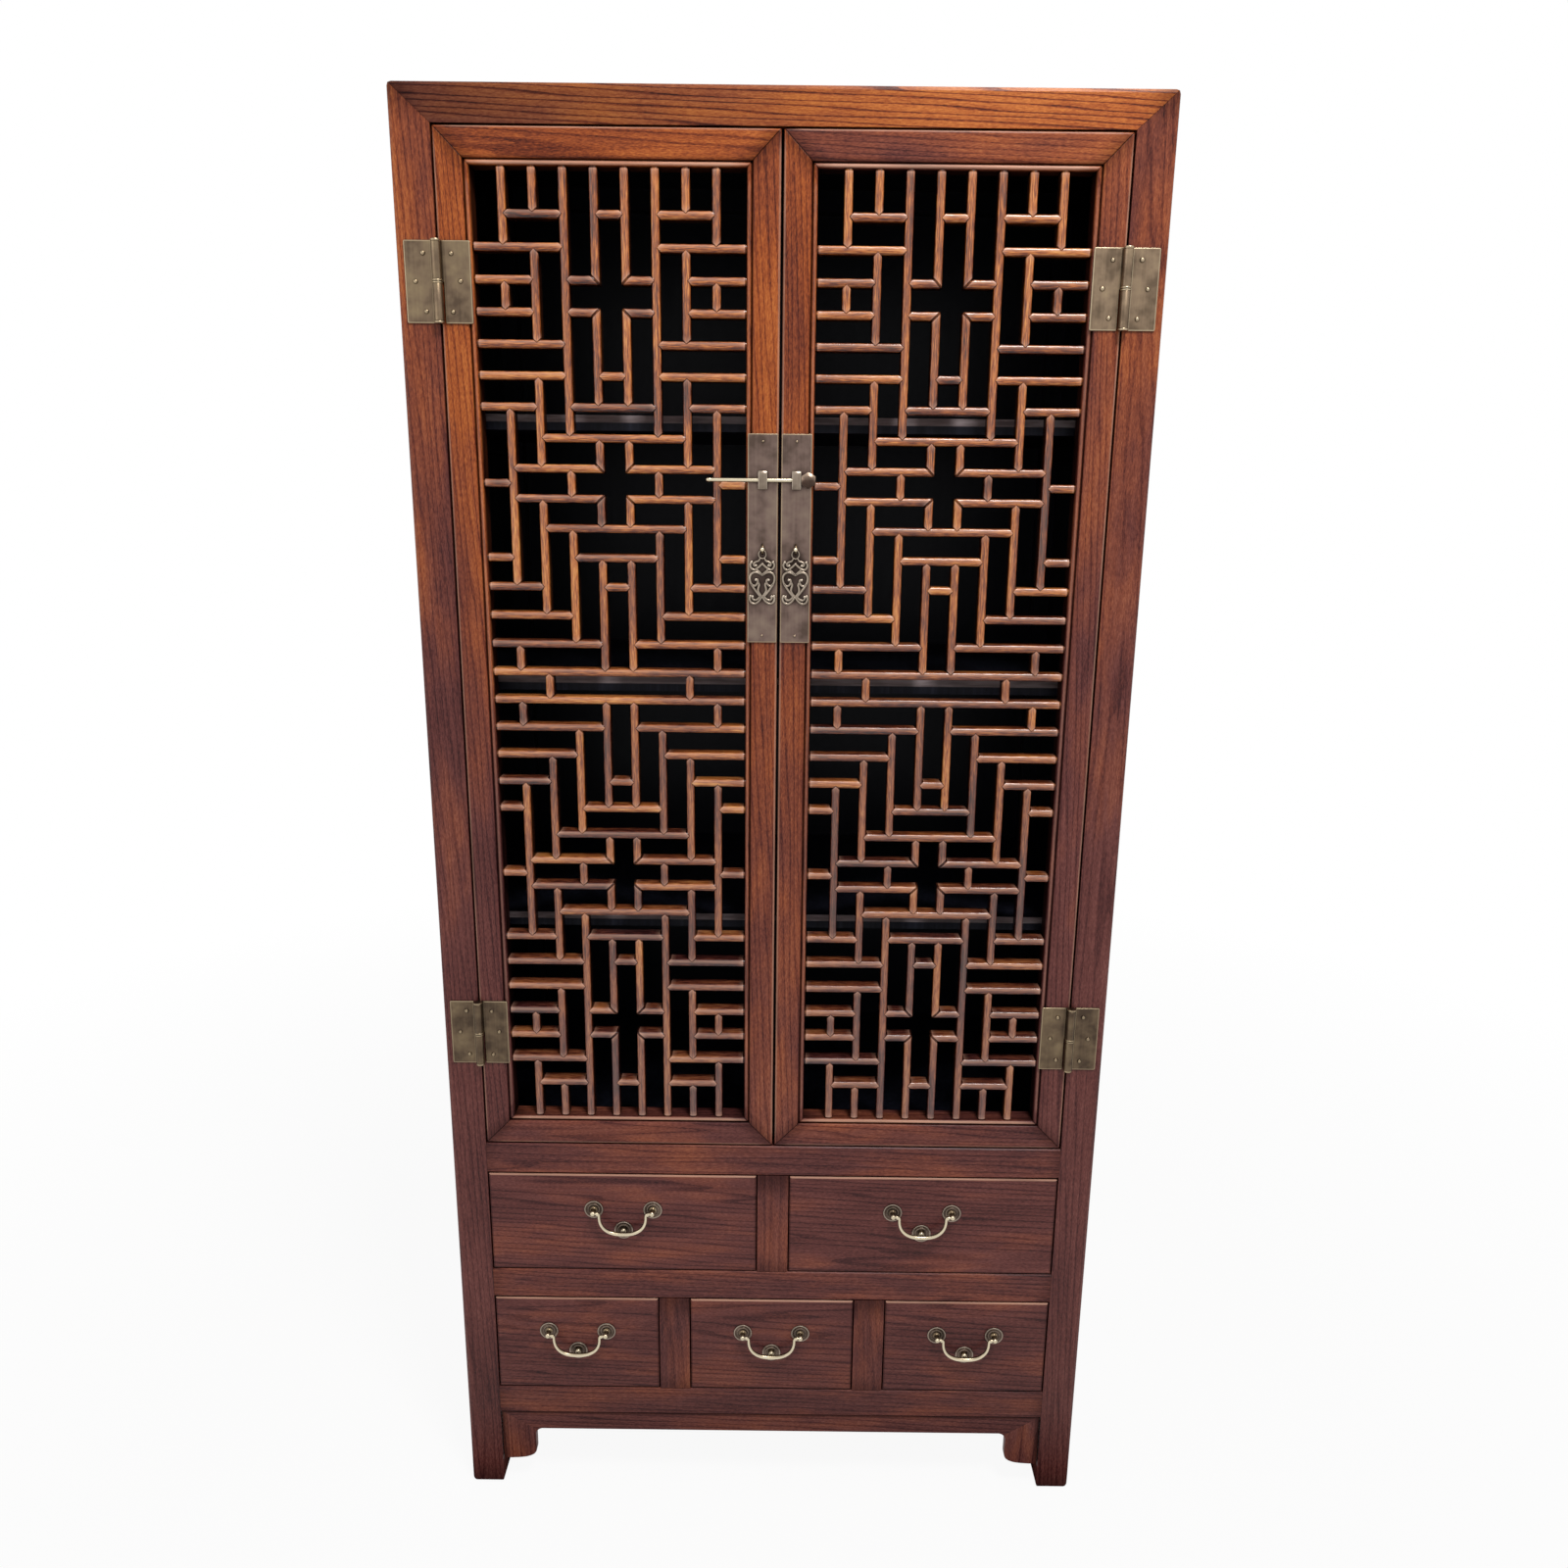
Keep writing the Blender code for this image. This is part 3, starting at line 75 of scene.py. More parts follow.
def add(tree, kind, inputs=None, stops=(), **settings):
    """Adds a shader node with its settings, its sockets' values or links, and a ramp's (place, colour)
    stops."""
    node = tree.nodes.new("ShaderNode" + kind)
    for name, value in settings.items():
        setattr(node, name, value)
    for socket, value in (inputs or {}).items():
        if isinstance(value, bpy.types.NodeSocket):
            tree.links.new(value, node.inputs[socket])
        else:
            node.inputs[socket].default_value = value
    for number, (place, colour) in enumerate(stops):
        elements = node.color_ramp.elements
        element = elements[number] if number < 2 else elements.new(place)
        element.position = place
        element.color = linear(colour)
    return node.outputs


def ranged(tree, value, source=(0.0, 1.0), target=(0.0, 1.0), smooth=False):
    """A value carried from a source range to a target range and held at its ends."""
    sockets = dict(zip(("Value", "From Min", "From Max", "To Min", "To Max"), (value, *source, *target)))
    return add(tree, "MapRange", sockets, interpolation_type="SMOOTHSTEP" if smooth else "LINEAR")[0]


def reckon(tree, operation, *values, **settings):
    """The result of an operation on values."""
    return add(tree, "Math", dict(enumerate(values)), operation=operation, **settings)[0]


def blend(tree, share, one, other):
    """A mix of two colours, all the other at a share of 1."""
    return add(tree, "Mix", {0: share, 6: one, 7: other}, data_type="RGBA")[2]


def ramp(tree, value, stops):
    """The colour of a value between (place, colour) stops."""
    return add(tree, "ValToRGB", {"Fac": value}, stops)["Color"]


def noise(tree, place, lines, detail, roughness=0.5, shift=(0.0, 0.0, 0.0)):
    """Noise with so many lines per metre along each axis of a place, shifted."""
    stretched = add(tree, "Mapping", {"Vector": place, "Location": shift, "Scale": lines})[0]
    return add(tree, "TexNoise", {
        "Vector": stretched, "Scale": 1.0, "Detail": detail, "Roughness": roughness})[0]


def new_material(name):
    """An empty node material and its tree."""
    material = bpy.data.materials.new(name)
    material.use_nodes = True
    material.node_tree.nodes.clear()
    return material, material.node_tree


def surface(tree, sockets):
    """The principled shader with its sockets, joined to the output."""
    shader = add(tree, "BsdfPrincipled", sockets)
    add(tree, "OutputMaterial", {"Surface": shader["BSDF"]})


RING_SPACING = 6.6 * MM
WAVE_TURN = 2 * math.pi / 20
# Rings of the log, and how they waver
RINGS = {
    "Scale": WAVE_TURN / RING_SPACING, "Distortion": 5.0, "Detail": 1.5, "Detail Scale": 0.24,
    "Detail Roughness": 0.5,
}
LOG_STRETCH = 0.15
LOG_TILT = (0.0, 0.16, 0.24)
# Length along the grain and width across it; the pores and the dark line of each year are drawn coarser
# than real ones so that they show
STREAK = (110 * MM, 3.4 * MM)
PORE = (5 * MM, 0.9 * MM)
BAR_PORE = (15 * MM, 1.1 * MM)
BLOTCH = (210 * MM, 55 * MM)
YEARS = (420 * MM, 17 * MM)
YEAR_SHIFT = 15.0
# Tone of plain wood; shares of a year between which its dark line ends, and from which it darkens again
PLAIN_TONE = 0.6
EARLY_WOOD = (0.08, 0.34)
LATE_WOOD = 0.4
LATE_TONE = -0.08
GRAIN_ROUGHNESS = 0.6
# Most of a noise lies in this range; the changes of tone by the streaks at its ends
NOISE_RANGE = (0.3, 0.7)
STREAK_TONE = (-0.1, 0.1)
# Heights between which the stain goes from cool to warm; the warm stain high up also paints the stronger
# light there
STAIN_HEIGHTS = (0.52, 1.66)
WARM_STAIN = [(0.0, "#3a1208"), (0.3, "#74321a"), (0.62, "#ac582b"), (1.0, "#d6803f")]
COOL_STAIN = [(0.0, "#280f10"), (0.3, "#512827"), (0.62, "#72403b"), (1.0, "#925b54")]
BAR_STAIN = [(0.0, "#2a0c05"), (0.3, "#783310"), (0.62, "#cb7330"), (1.0, "#f6b060")]
# Finishes of the boards and of the lattice bars, which are lighter, patchier and glossier: size of the
# pores, changes of tone by pores and blotches, stain, level of the varnish, and its roughness where dull
# and where bright
BOARD_FINISH = {
    "pore": PORE, "pore_tone": (-0.26, 0.24), "blotch_tone": (-0.16, 0.16), "stain": WARM_STAIN,
    "varnish": 0.2, "roughness": (0.42, 0.28),
}
BAR_FINISH = {
    "pore": BAR_PORE, "pore_tone": (-0.5, 0.24), "blotch_tone": (-0.28, 0.28), "stain": BAR_STAIN,
    "varnish": 0.65, "roughness": (0.3, 0.16),
}
# Colour the wood darkens to: grime at joints and ends, and painted shade in corners, in recesses and on the
# bars' sides and undersides; and the reach of the painted shade in corners
GRIME_AND_SHADE = "#150a09"
CORNER_SHADE_REACH = 10 * MM
# Open share of a point's surroundings, in a corner and clear of it; light left in the corners, at a
# joint's seam, and at the ends of a solid over their reach
CORNER_OPEN = (0.1, 0.8)
CORNER_LIGHT = 0.35
JOINT_LIGHT = 0.2
END_LIGHT = 0.5
END_REACH = 45 * MM
# Pale colour of rubbed edges and of painted highlights, and how strongly negative seams blend towards it
WORN_AND_HIGHLIGHT = "#dfac92"
WEAR_AND_HIGHLIGHT = 1.7
LACQUER_COLOUR = "#16171e"
LACQUER_SHEEN = 0.12
# Nearest and farthest depth of the painted shade behind a door's face, and of the painted shade on the
# sides of its lattice bars, with the light that is left there
BAR_CREST = corners("left_door_lattice")[0][1]
BEHIND_FACE = (FACE + 5 * MM, FACE + 10 * MM, 0.12)
BAR_SIDES = (BAR_CREST + 1.8 * MM, BAR_CREST + 3.6 * MM, 0.5)
# Light left by that painted shade on what faces up, which the lamp above lights, and the upward share of
# the normal between which that begins and is full
UPWARD_LIGHT = 0.85
UPWARD_RISE = (0.4, 0.9)
# Heights between which the wood is darker towards the floor, and the light left at the lower
FLOOR_DARK = (0.05, 0.36, 0.72)
# Below this height the feet have lost their varnish
MOPPED = 0.14
# Depth of the pores, and how strongly they and the brush marks of the lacquer tilt the light
GRAIN_RELIEF = 0.3 * MM
PORE_TILT = 0.25
BRUSH_TILT = 0.2


def per_metre(sizes):
    """Noise scales along and across the grain for a feature's length and width."""
    length, width = sizes
    return (1 / length, 1 / width, 1 / width)


def stained_elm(name, along=None, heart=(0.0, 0.0, 0.0), warmth=0.0, lean=0.0, figure=0.2, ends=None,
                inside=(), deep=(), finish=BOARD_FINISH, patches=1.6, painted_shade_along=None, lift=0.0):
    """Elm, planed and rubbed with a red-brown stain under worn varnish. Ring-porous: each year starts with
    a thin dark line of pores, so the face shows dark lines along the grain, arched on wide boards, and
    short dark pores between them. The stain has stayed orange high up, which also paints the stronger light
    there; the wood is darker towards the floor and at the joints, darkened by grime and painted shade in
    the corners, and rubbed light along edges, which also paints their highlights.
    Along is X, Y or Z on the solids, or None for the grain attribute of a new piece; heart moves the log's
    centre; warmth shifts the stain and lean does so per metre along the grain; figure is the darkness of
    the lines; ends is the middle and half length of a solid, whose joints darken; inside lists (axis, sign,
    level) past which all the lacquer of the inside begins; deep lists (near, far, light left) of the depths
    that darken as painted shade, except on what faces up; patches is how strongly orange and dark patches
    differ; painted_shade_along is where along the grain a painted shade is darkest and where plain, and
    the light left at the darkest; lift lightens the wood between the lines."""
    material, tree = new_material(name)
    place = add(tree, "TexCoord")["Object"]
    axes = list(add(tree, "SeparateXYZ", {0: place}))
    if along is None:
        grain = add(tree, "Attribute", attribute_name="grain")["Vector"]
    else:
        turned_axes = {number: axes[axis] for number, axis in enumerate(GRAIN_ORDER[along])}
        grain = add(tree, "CombineXYZ", turned_axes)["Vector"]
    log = add(tree, "Mapping", {
        "Vector": grain, "Location": heart, "Rotation": LOG_TILT, "Scale": (LOG_STRETCH, 1.0, 1.0)})[0]
    streak, pore, blotch, years = (
        noise(tree, grain, per_metre(sizes), detail, GRAIN_ROUGHNESS, heart)
        for sizes, detail in ((STREAK, 3.0), (finish["pore"], 3.0), (BLOTCH, 3.0), (YEARS, 1.0)))
    uneven = reckon(tree, "MULTIPLY", years, YEAR_SHIFT)
    rings = add(tree, "TexWave", {**RINGS, "Vector": log, "Phase Offset": uneven},
                wave_type="RINGS", rings_direction="X", wave_profile="SAW")["Fac"]
    early = ranged(tree, rings, EARLY_WOOD, (PLAIN_TONE - figure, PLAIN_TONE + lift), smooth=True)
    late = ranged(tree, rings, (LATE_WOOD, 1.0), (0.0, LATE_TONE))
    tone = reckon(tree, "ADD", early, late, use_clamp=True)
    changes = ((streak, STREAK_TONE), (pore, finish["pore_tone"]), (blotch, finish["blotch_tone"]))
    for marks, tones in changes:
        tone = reckon(tree, "ADD", tone, ranged(tree, marks, NOISE_RANGE, tones), use_clamp=True)
    warm = ramp(tree, tone, finish["stain"])
    cool = ramp(tree, tone, COOL_STAIN)
    # Cool low and warm high: stain, and painted light from the lamp above
    coolest = warmth - patches / 2
    height = ranged(tree, axes[2], STAIN_HEIGHTS, (coolest, coolest + 1))
    patch = reckon(tree, "MULTIPLY_ADD", blotch, patches, height)
    run = axes[GRAIN_ORDER[along or "Z"][0]]
    if lean:
        patch = reckon(tree, "MULTIPLY_ADD", run, lean, patch)
    stain = blend(tree, ranged(tree, patch), cool, warm)
    seam = add(tree, "Attribute", attribute_name="seam")["Fac"]
    # Negative seams lighten as wear and as painted highlights
    rubbed = ranged(tree, seam, (0.0, -1.0), (0.0, WEAR_AND_HIGHLIGHT))
    stain = blend(tree, reckon(tree, "MULTIPLY", rubbed, streak), stain, linear(WORN_AND_HIGHLIGHT))
    # Ambient occlusion paints shade into corners and recesses; positive seams darken joints and paint shade
    # in grooves, gaps and undersides
    near = add(tree, "AmbientOcclusion", {"Distance": CORNER_SHADE_REACH}, samples=4)["AO"]
    darks = [
        ranged(tree, near, CORNER_OPEN, (CORNER_LIGHT, 1.0)),
        ranged(tree, seam, target=(1.0, JOINT_LIGHT))]
    if ends is not None:
        middle, half = ends
        reach = reckon(tree, "ABSOLUTE", reckon(tree, "SUBTRACT", run, middle))
        darks.append(ranged(tree, reach, (half - END_REACH, half), (1.0, END_LIGHT), smooth=True))
    # What faces up is spared the painted shade behind the face, as the lamp above lights it
    facing = add(tree, "NewGeometry")["Normal"]
    rise = add(tree, "SeparateXYZ", {0: facing})["Z"]
    upward_lit = ranged(tree, rise, UPWARD_RISE, (0.0, UPWARD_LIGHT))
    for near_depth, far_depth, left in deep:
        depth = ranged(tree, axes[1], (near_depth, far_depth), (1.0, left))
        darks.append(reckon(tree, "MAXIMUM", depth, upward_lit))
    for line, spread_of_dark in ((axes[2], FLOOR_DARK), (run, painted_shade_along)):
        if spread_of_dark is not None:
            darkest, plain, left = spread_of_dark
            darks.append(ranged(tree, line, (darkest, plain), (left, 1.0)))
    light = darks[0]
    for dark in darks[1:]:
        light = reckon(tree, "MULTIPLY", light, dark)
    colour = blend(tree, light, linear(GRIME_AND_SHADE), stain)
    sheen = reckon(tree, "MULTIPLY", light, finish["varnish"])
    beyond = 1.0
    for axis, sign, level in inside:
        offset = reckon(tree, "MULTIPLY_ADD", axes[axis], sign, -sign * level)
        beyond = reckon(tree, "MULTIPLY", reckon(tree, "GREATER_THAN", offset, 0.0), beyond)
    if inside:
        colour = blend(tree, beyond, colour, linear(LACQUER_COLOUR))
        sheen = add(tree, "Mix", {0: beyond, 2: sheen, 3: LACQUER_SHEEN})[0]
    mopped = ranged(tree, axes[2], (MOPPED / 4, MOPPED))
    sheen = reckon(tree, "MULTIPLY", sheen, mopped)
    gloss = ranged(tree, streak, target=finish["roughness"])
    normal = add(tree, "Bump", {"Height": tone, "Strength": PORE_TILT, "Distance": GRAIN_RELIEF})[0]
    surface(tree, {"Base Color": colour, "Roughness": gloss, "Normal": normal, "Specular IOR Level": sheen})
    return material


# Worn front edge of a shelf: its height and its depth
NOSE = 8 * MM
NOSE_WEAR = 1.5 * MM
# Lines per metre along x, y and z: brush marks 6 mm wide and 170 mm long, rubs 45 mm long on a shelf's
# nose, and the poplar's streaks, 4 mm wide and 70 mm long
BRUSH_LINES = (160.0, 160.0, 6.0)
NOSE_LINES = (22.0, 160.0, 160.0)
POPLAR_LINES = (260.0, 14.0, 260.0)
# Colours at places on the marks; roughness of the faintest and the strongest mark; level of the gloss
LACQUER_STOPS = [(0.3, "#11121a"), (0.55, "#191a24"), (0.75, "#262732")]
NOSE_STOPS = [(0.35, "#6c6061"), (0.5, "#837677"), (0.65, "#968a8b")]
POPLAR_STOPS = [(0.3, "#6f4f33"), (0.55, "#8e6b47"), (0.75, "#a3825a")]
LACQUER_ROUGHNESS = (0.55, 0.4)
LACQUER_GLOSS = 0.15
POPLAR_ROUGHNESS = (0.55, 0.72)
POPLAR_GLOSS = 0.3


def dark_lacquer(name, edge=None):
    """Black lacquer brushed thin on the boards of the inside: near black and a little blue, with the faint
    upright lines of the boards and dull brush marks in its gloss. Edge is the depth of a shelf's front edge
    and the height of its top: there a thin nose is worn to a grey brown."""
    material, tree = new_material(name)
    place = add(tree, "TexCoord")["Object"]
    marks = noise(tree, place, BRUSH_LINES, 3.0)
    colour = ramp(tree, marks, LACQUER_STOPS)
    if edge is not None:
        _, depth, height = add(tree, "SeparateXYZ", {0: place})
        front, top = edge
        nose = ranged(tree, depth, (front, front + NOSE_WEAR), (1.0, 0.0))
        band = ranged(tree, height, (top - NOSE - MM, top - NOSE))
        rubs = noise(tree, place, NOSE_LINES, 3.0)
        worn = ramp(tree, rubs, NOSE_STOPS)
        colour = blend(tree, reckon(tree, "MULTIPLY", nose, band), colour, worn)
    gloss = ranged(tree, marks, target=LACQUER_ROUGHNESS)
    normal = add(tree, "Bump", {"Height": marks, "Strength": BRUSH_TILT, "Distance": GRAIN_RELIEF})[0]
    surface(tree, {
        "Base Color": colour, "Roughness": gloss, "Specular IOR Level": LACQUER_GLOSS, "Normal": normal})
    return material


def drawer_box_wood():
    """Poplar left bare inside the drawers, planed: pale brown with soft streaks front to back."""
    material, tree = new_material("bare_poplar")
    place = add(tree, "TexCoord")["Object"]
    streak = noise(tree, place, POPLAR_LINES, 4.0)
    colour = ramp(tree, streak, POPLAR_STOPS)
    rough = ranged(tree, streak, target=POPLAR_ROUGHNESS)
    normal = add(tree, "Bump", {"Height": streak, "Strength": PORE_TILT, "Distance": GRAIN_RELIEF})[0]
    surface(tree, {
        "Base Color": colour, "Roughness": rough, "Specular IOR Level": POPLAR_GLOSS, "Normal": normal})
    return material


# Size of the clouds of tarnish; length and width of the rubbing lines, and their share beside the clouds;
# size and depth of the pits, and how strongly they tilt the light; reach of the dark patina and painted
# shade where pieces meet, and the open share of a point's surroundings there and clear of it
TARNISH = 26 * MM
RUBBING = (90 * MM, 3.0 * MM)
RUBBING_SHARE = 0.2
PIT = 1.1 * MM
PIT_DEPTH = 0.1 * MM
PIT_TILT = 0.1
PATINA_REACH = 5 * MM
PATINA_OPEN = (0.2, 0.9)
# Colour of the dark patina and painted shade where pieces meet, in sunk parts and behind the pulls
PATINA_AND_SHADE = "#100b08"
# Light left in what is sunk
SUNK_LIGHT = 0.25
# Places on the clouds of the tarnished, the plain and the worn colour
PATINA_STOPS = (0.42, 0.6, 0.8)
# Light left on a plate in the painted shadow behind its pull, and the shares of the pull's size between
# which that ends
PULL_SHADOW_LIGHT = 0.45
PULL_SHADOW_EDGE = (0.75, 1.1)
PULL_LOW, PULL_HIGH = corners("pull_right")
PULL_MIDDLE = (PULL_LOW + PULL_HIGH)[[0, 2]] / 2
PULL_HALF = (PULL_HIGH - PULL_LOW)[[0, 2]] / 2


def aged_brass(name, tarnished, plain, worn, bright, roughness, occlusion=0.5, behind=None):
    """Filed brass with an old brown patina: soft clouds of tarnish, upright rubbing lines, fine pits, dark
    patina and painted shade where pieces meet, and rubbed bright along edges and on nails, with painted
    highlights on crests and fronts, which the seam attribute marks below 0, while above 0 it marks what is
    sunk and darkened as painted shade. Behind is the middle and half size, (x, z) on both sides of the
    middle plane, of the oval behind a hanging pull, darkened as the pull's painted shadow."""
    material, tree = new_material(name)
    place = add(tree, "TexCoord")["Object"]
    cloud = add(tree, "TexNoise", {
        "Vector": place, "Scale": 1 / TARNISH, "Detail": 3.0, "Roughness": 0.55})[0]
    length, width = RUBBING
    lines = noise(tree, place, (1 / width, 1 / width, 1 / length), 2.0)
    fine = add(tree, "TexNoise", {"Vector": place, "Scale": 1 / PIT, "Detail": 2.0})[0]
    mixed = reckon(tree, "MULTIPLY_ADD", lines, RUBBING_SHARE, cloud)
    colour = ramp(tree, mixed, list(zip(PATINA_STOPS, (tarnished, plain, worn))))
    seam = add(tree, "Attribute", attribute_name="seam")["Fac"]
    # Negative seams lighten as wear and as painted highlights; positive seams darken as painted shade
    colour = blend(tree, ranged(tree, seam, (0.0, -1.0)), colour, linear(bright))
    # Ambient occlusion darkens where pieces meet: patina, and painted shade
    near = add(tree, "AmbientOcclusion", {"Distance": PATINA_REACH}, samples=4)["AO"]
    light = ranged(tree, near, PATINA_OPEN, (1 - occlusion, 1.0))
    sunk = ranged(tree, seam, target=(1.0, SUNK_LIGHT))
    light = reckon(tree, "MULTIPLY", light, sunk)
    # Painted shadow of the hanging pull on the plate
    if behind is not None:
        (x, z), (half_width, half_height) = behind
        mirrored = add(tree, "VectorMath", {0: place}, operation="ABSOLUTE")[0]
        oval = add(tree, "Mapping", {
            "Vector": mirrored, "Scale": (1 / half_width, 0.0, 1 / half_height),
            "Location": (-x / half_width, 0.0, -z / half_height)})[0]
        away = add(tree, "VectorMath", {0: oval}, operation="LENGTH")["Value"]
        pull_shadow = ranged(tree, away, PULL_SHADOW_EDGE, (PULL_SHADOW_LIGHT, 1.0), smooth=True)
        light = reckon(tree, "MULTIPLY", light, pull_shadow)
    colour = blend(tree, light, linear(PATINA_AND_SHADE), colour)
    rough = ranged(tree, mixed, (PATINA_STOPS[0], PATINA_STOPS[-1]), roughness[::-1])
    normal = add(tree, "Bump", {"Height": fine, "Strength": PIT_TILT, "Distance": PIT_DEPTH})[0]
    surface(tree, {"Base Color": colour, "Roughness": rough, "Metallic": 1.0, "Normal": normal})
    return material


LACQUER = dark_lacquer("dark_lacquer_on_boards")
POPLAR = drawer_box_wood()
HINGE_BRASS = aged_brass("hinge_brass", "#5a4b3e", "#786653", "#8b795f", "#b4a284", (0.3, 0.42))
LIT_HINGE_BRASS = aged_brass("hinge_brass_lit", "#685848", "#8a7661", "#a08b70", "#c2b194", (0.3, 0.42))
SHADED_HINGE_BRASS = aged_brass("hinge_brass_shaded", "#4d4035", "#665645", "#7b6a53", "#a69478", (0.3, 0.42))
# The upper right hinge is a lit copy of the brass and the lower ones are shaded copies: painted light from
# the lamp above at the right
HINGE_BRASS_BY_LIGHT = {
    ("upper", "left"): HINGE_BRASS, ("upper", "right"): LIT_HINGE_BRASS,
    ("lower", "left"): SHADED_HINGE_BRASS, ("lower", "right"): SHADED_HINGE_BRASS,
}
PLATE_BRASS = aged_brass("lock_plate_brass", "#594a42", "#75625a", "#867467", "#b09c80", (0.32, 0.44), 0.75,
                         (PULL_MIDDLE, PULL_HALF))
ROSETTE_BRASS = aged_brass("rosette_brass", "#43382f", "#5f5046", "#7b6b5e", "#b9a999", (0.3, 0.42))
HANDLE_BRASS = aged_brass("handle_brass", "#594a3c", "#78674f", "#a08e71", "#eaddc0", (0.2, 0.32))
PULL_BRASS = aged_brass("pull_brass", "#5a4d42", "#7b6c5e", "#9a8b7c", "#d2c4b2", (0.26, 0.4))
BRONZE = aged_brass("dark_bronze", "#3a2d27", "#54433a", "#6f5b4e", "#b39c88", (0.28, 0.4))


# Shapes

class Shell:
    """A closed skin: points, four-sided and three-sided faces, and the grain and seam of each point."""

    def __init__(self, points, quads, fans, seam):
        self.points = points
        self.quads = quads
        self.fans = fans
        self.seam = seam
        self.grain = points


def skin(rings, wrap=False, seam=None):
    """Closes a stack of rings, given as rows by columns by 3. Face (i, j) joins ring i to ring i + 1; the
    end rings are closed by a fan to their middle, or with wrap the last ring joins the first. The sign of
    the enclosed volume, a sixth of the sum of the triangles' triple products, turns the faces out. Seam is
    a value for each row or each point: 1 darkens, for a joint and for painted shade; -1 lightens, for a
    rubbed edge and for a painted highlight."""
    rows, columns, _ = rings.shape
    index = np.arange(rows * columns).reshape(rows, columns)
    lower = index if wrap else index[:-1]
    upper = np.roll(index, -1, 0) if wrap else index[1:]
    quads = np.stack([lower, np.roll(lower, -1, 1), np.roll(upper, -1, 1), upper], -1).reshape(-1, 4)
    points = rings.reshape(-1, 3)
    seams = np.zeros((rows, columns))
    if seam is not None:
        seams += np.asarray(seam, float).reshape(rows, -1)
    ends = [seams[0].mean(), seams[-1].mean()]
    seams = seams.ravel()
    fans = np.zeros((0, 3), int)
    if not wrap:
        points = np.vstack([points, rings[0].mean(0), rings[-1].mean(0)])
        seams = np.append(seams, ends)
        first, last = index[0], index[-1]
        start = np.full(columns, rows * columns)
        fans = np.vstack([
            np.stack([np.roll(first, -1), first, start], -1),
            np.stack([last, np.roll(last, -1), start + 1], -1)])
    triangles = np.vstack([quads[:, [0, 1, 2]], quads[:, [0, 2, 3]], fans])
    a, b, c = (points[triangles[:, corner]] for corner in range(3))
    if np.einsum("ij,ij->", a, np.cross(b, c)) < 0:
        quads = quads[:, ::-1]
        fans = fans[:, ::-1]
    return Shell(points, quads, fans, seams)


def new_object(name, data):
    """An object of a mesh, a lamp or a camera, in the scene."""
    thing = bpy.data.objects.new(name, data)
    bpy.context.scene.collection.objects.link(thing)
    return thing


# Where a board's log has its heart, across the face and behind it: beside the board, so that its face
# shows straight lines, or behind the board, so that it shows arches
BESIDE = ((0.05, 0.02), (0.11, 0.06))
BEHIND = ((-0.03, 0.015), (0.03, 0.045))


def log_shift(heart_range):
    """The place of a board in its log, by chance: along it, across it and behind it."""
    (low_across, low_behind), (high_across, high_behind) = heart_range
    shift = chance.uniform((-3.0, low_across, low_behind), (3.0, high_across, high_behind))
    shift[1] *= chance.choice((-1, 1))
    return shift


def with_grain(shell, along, heart_range=BESIDE):
    """Gives a wooden shell its own log: its points with the grain's axis first, measured from its middle
    and shifted by chance."""
    middle = (shell.points.min(0) + shell.points.max(0)) / 2
    shell.grain = (shell.points - middle)[:, GRAIN_ORDER[along]] + log_shift(heart_range)
    return shell


def make(name, shells, material, body, node=None, sharp=38):
    """Joins shells into one mesh object at the origin, smooth except along edges sharper than the angle."""
    starts = np.cumsum([0] + [len(shell.points) for shell in shells])
    faces = []
    for shell, start in zip(shells, starts):
        faces += (shell.quads + start).tolist() + (shell.fans + start).tolist()
    mesh = bpy.data.meshes.new(name)
    mesh.from_pydata(np.vstack([shell.points for shell in shells]).tolist(), [], faces)
    grain = mesh.attributes.new("grain", "FLOAT_VECTOR", "POINT")
    grain.data.foreach_set("vector", np.vstack([shell.grain for shell in shells]).ravel())
    seam = mesh.attributes.new("seam", "FLOAT", "POINT")
    seam.data.foreach_set("value", np.concatenate([shell.seam for shell in shells]))
    mesh.shade_smooth()
    mesh.set_sharp_from_angle(angle=math.radians(sharp))
    mesh.materials.append(material)
    piece = new_object(name, mesh)
    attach(piece, body)
    if node:
        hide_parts(node)
    return piece


def joined(*columns):
    """Points from their columns, of which some may be one number for all points."""
    return np.stack(np.broadcast_arrays(*columns), -1)


def round_angles(count):
    """Angles evenly round a full turn."""
    return np.linspace(0, 2 * np.pi, count, endpoint=False)


def unit(vector):
    """Vectors at length 1."""
    return vector / np.linalg.norm(vector, axis=-1, keepdims=True)


CROSSWAYS = {"X": ("Y", "Z"), "-Y": ("Z", "X"), "Z": ("X", "Y")}
DIRECTION = {
    "X": np.array([1.0, 0.0, 0.0]), "Y": np.array([0.0, 1.0, 0.0]), "-Y": np.array([0.0, -1.0, 0.0]),
    "Z": np.array([0.0, 0.0, 1.0]),
}


# Seam of a wire's sides, which paints their shade, and the angles of the rows that round off its ends
SIDE_SEAM = 0.55
WIRE_END_TURNS = (30, 60, 84)


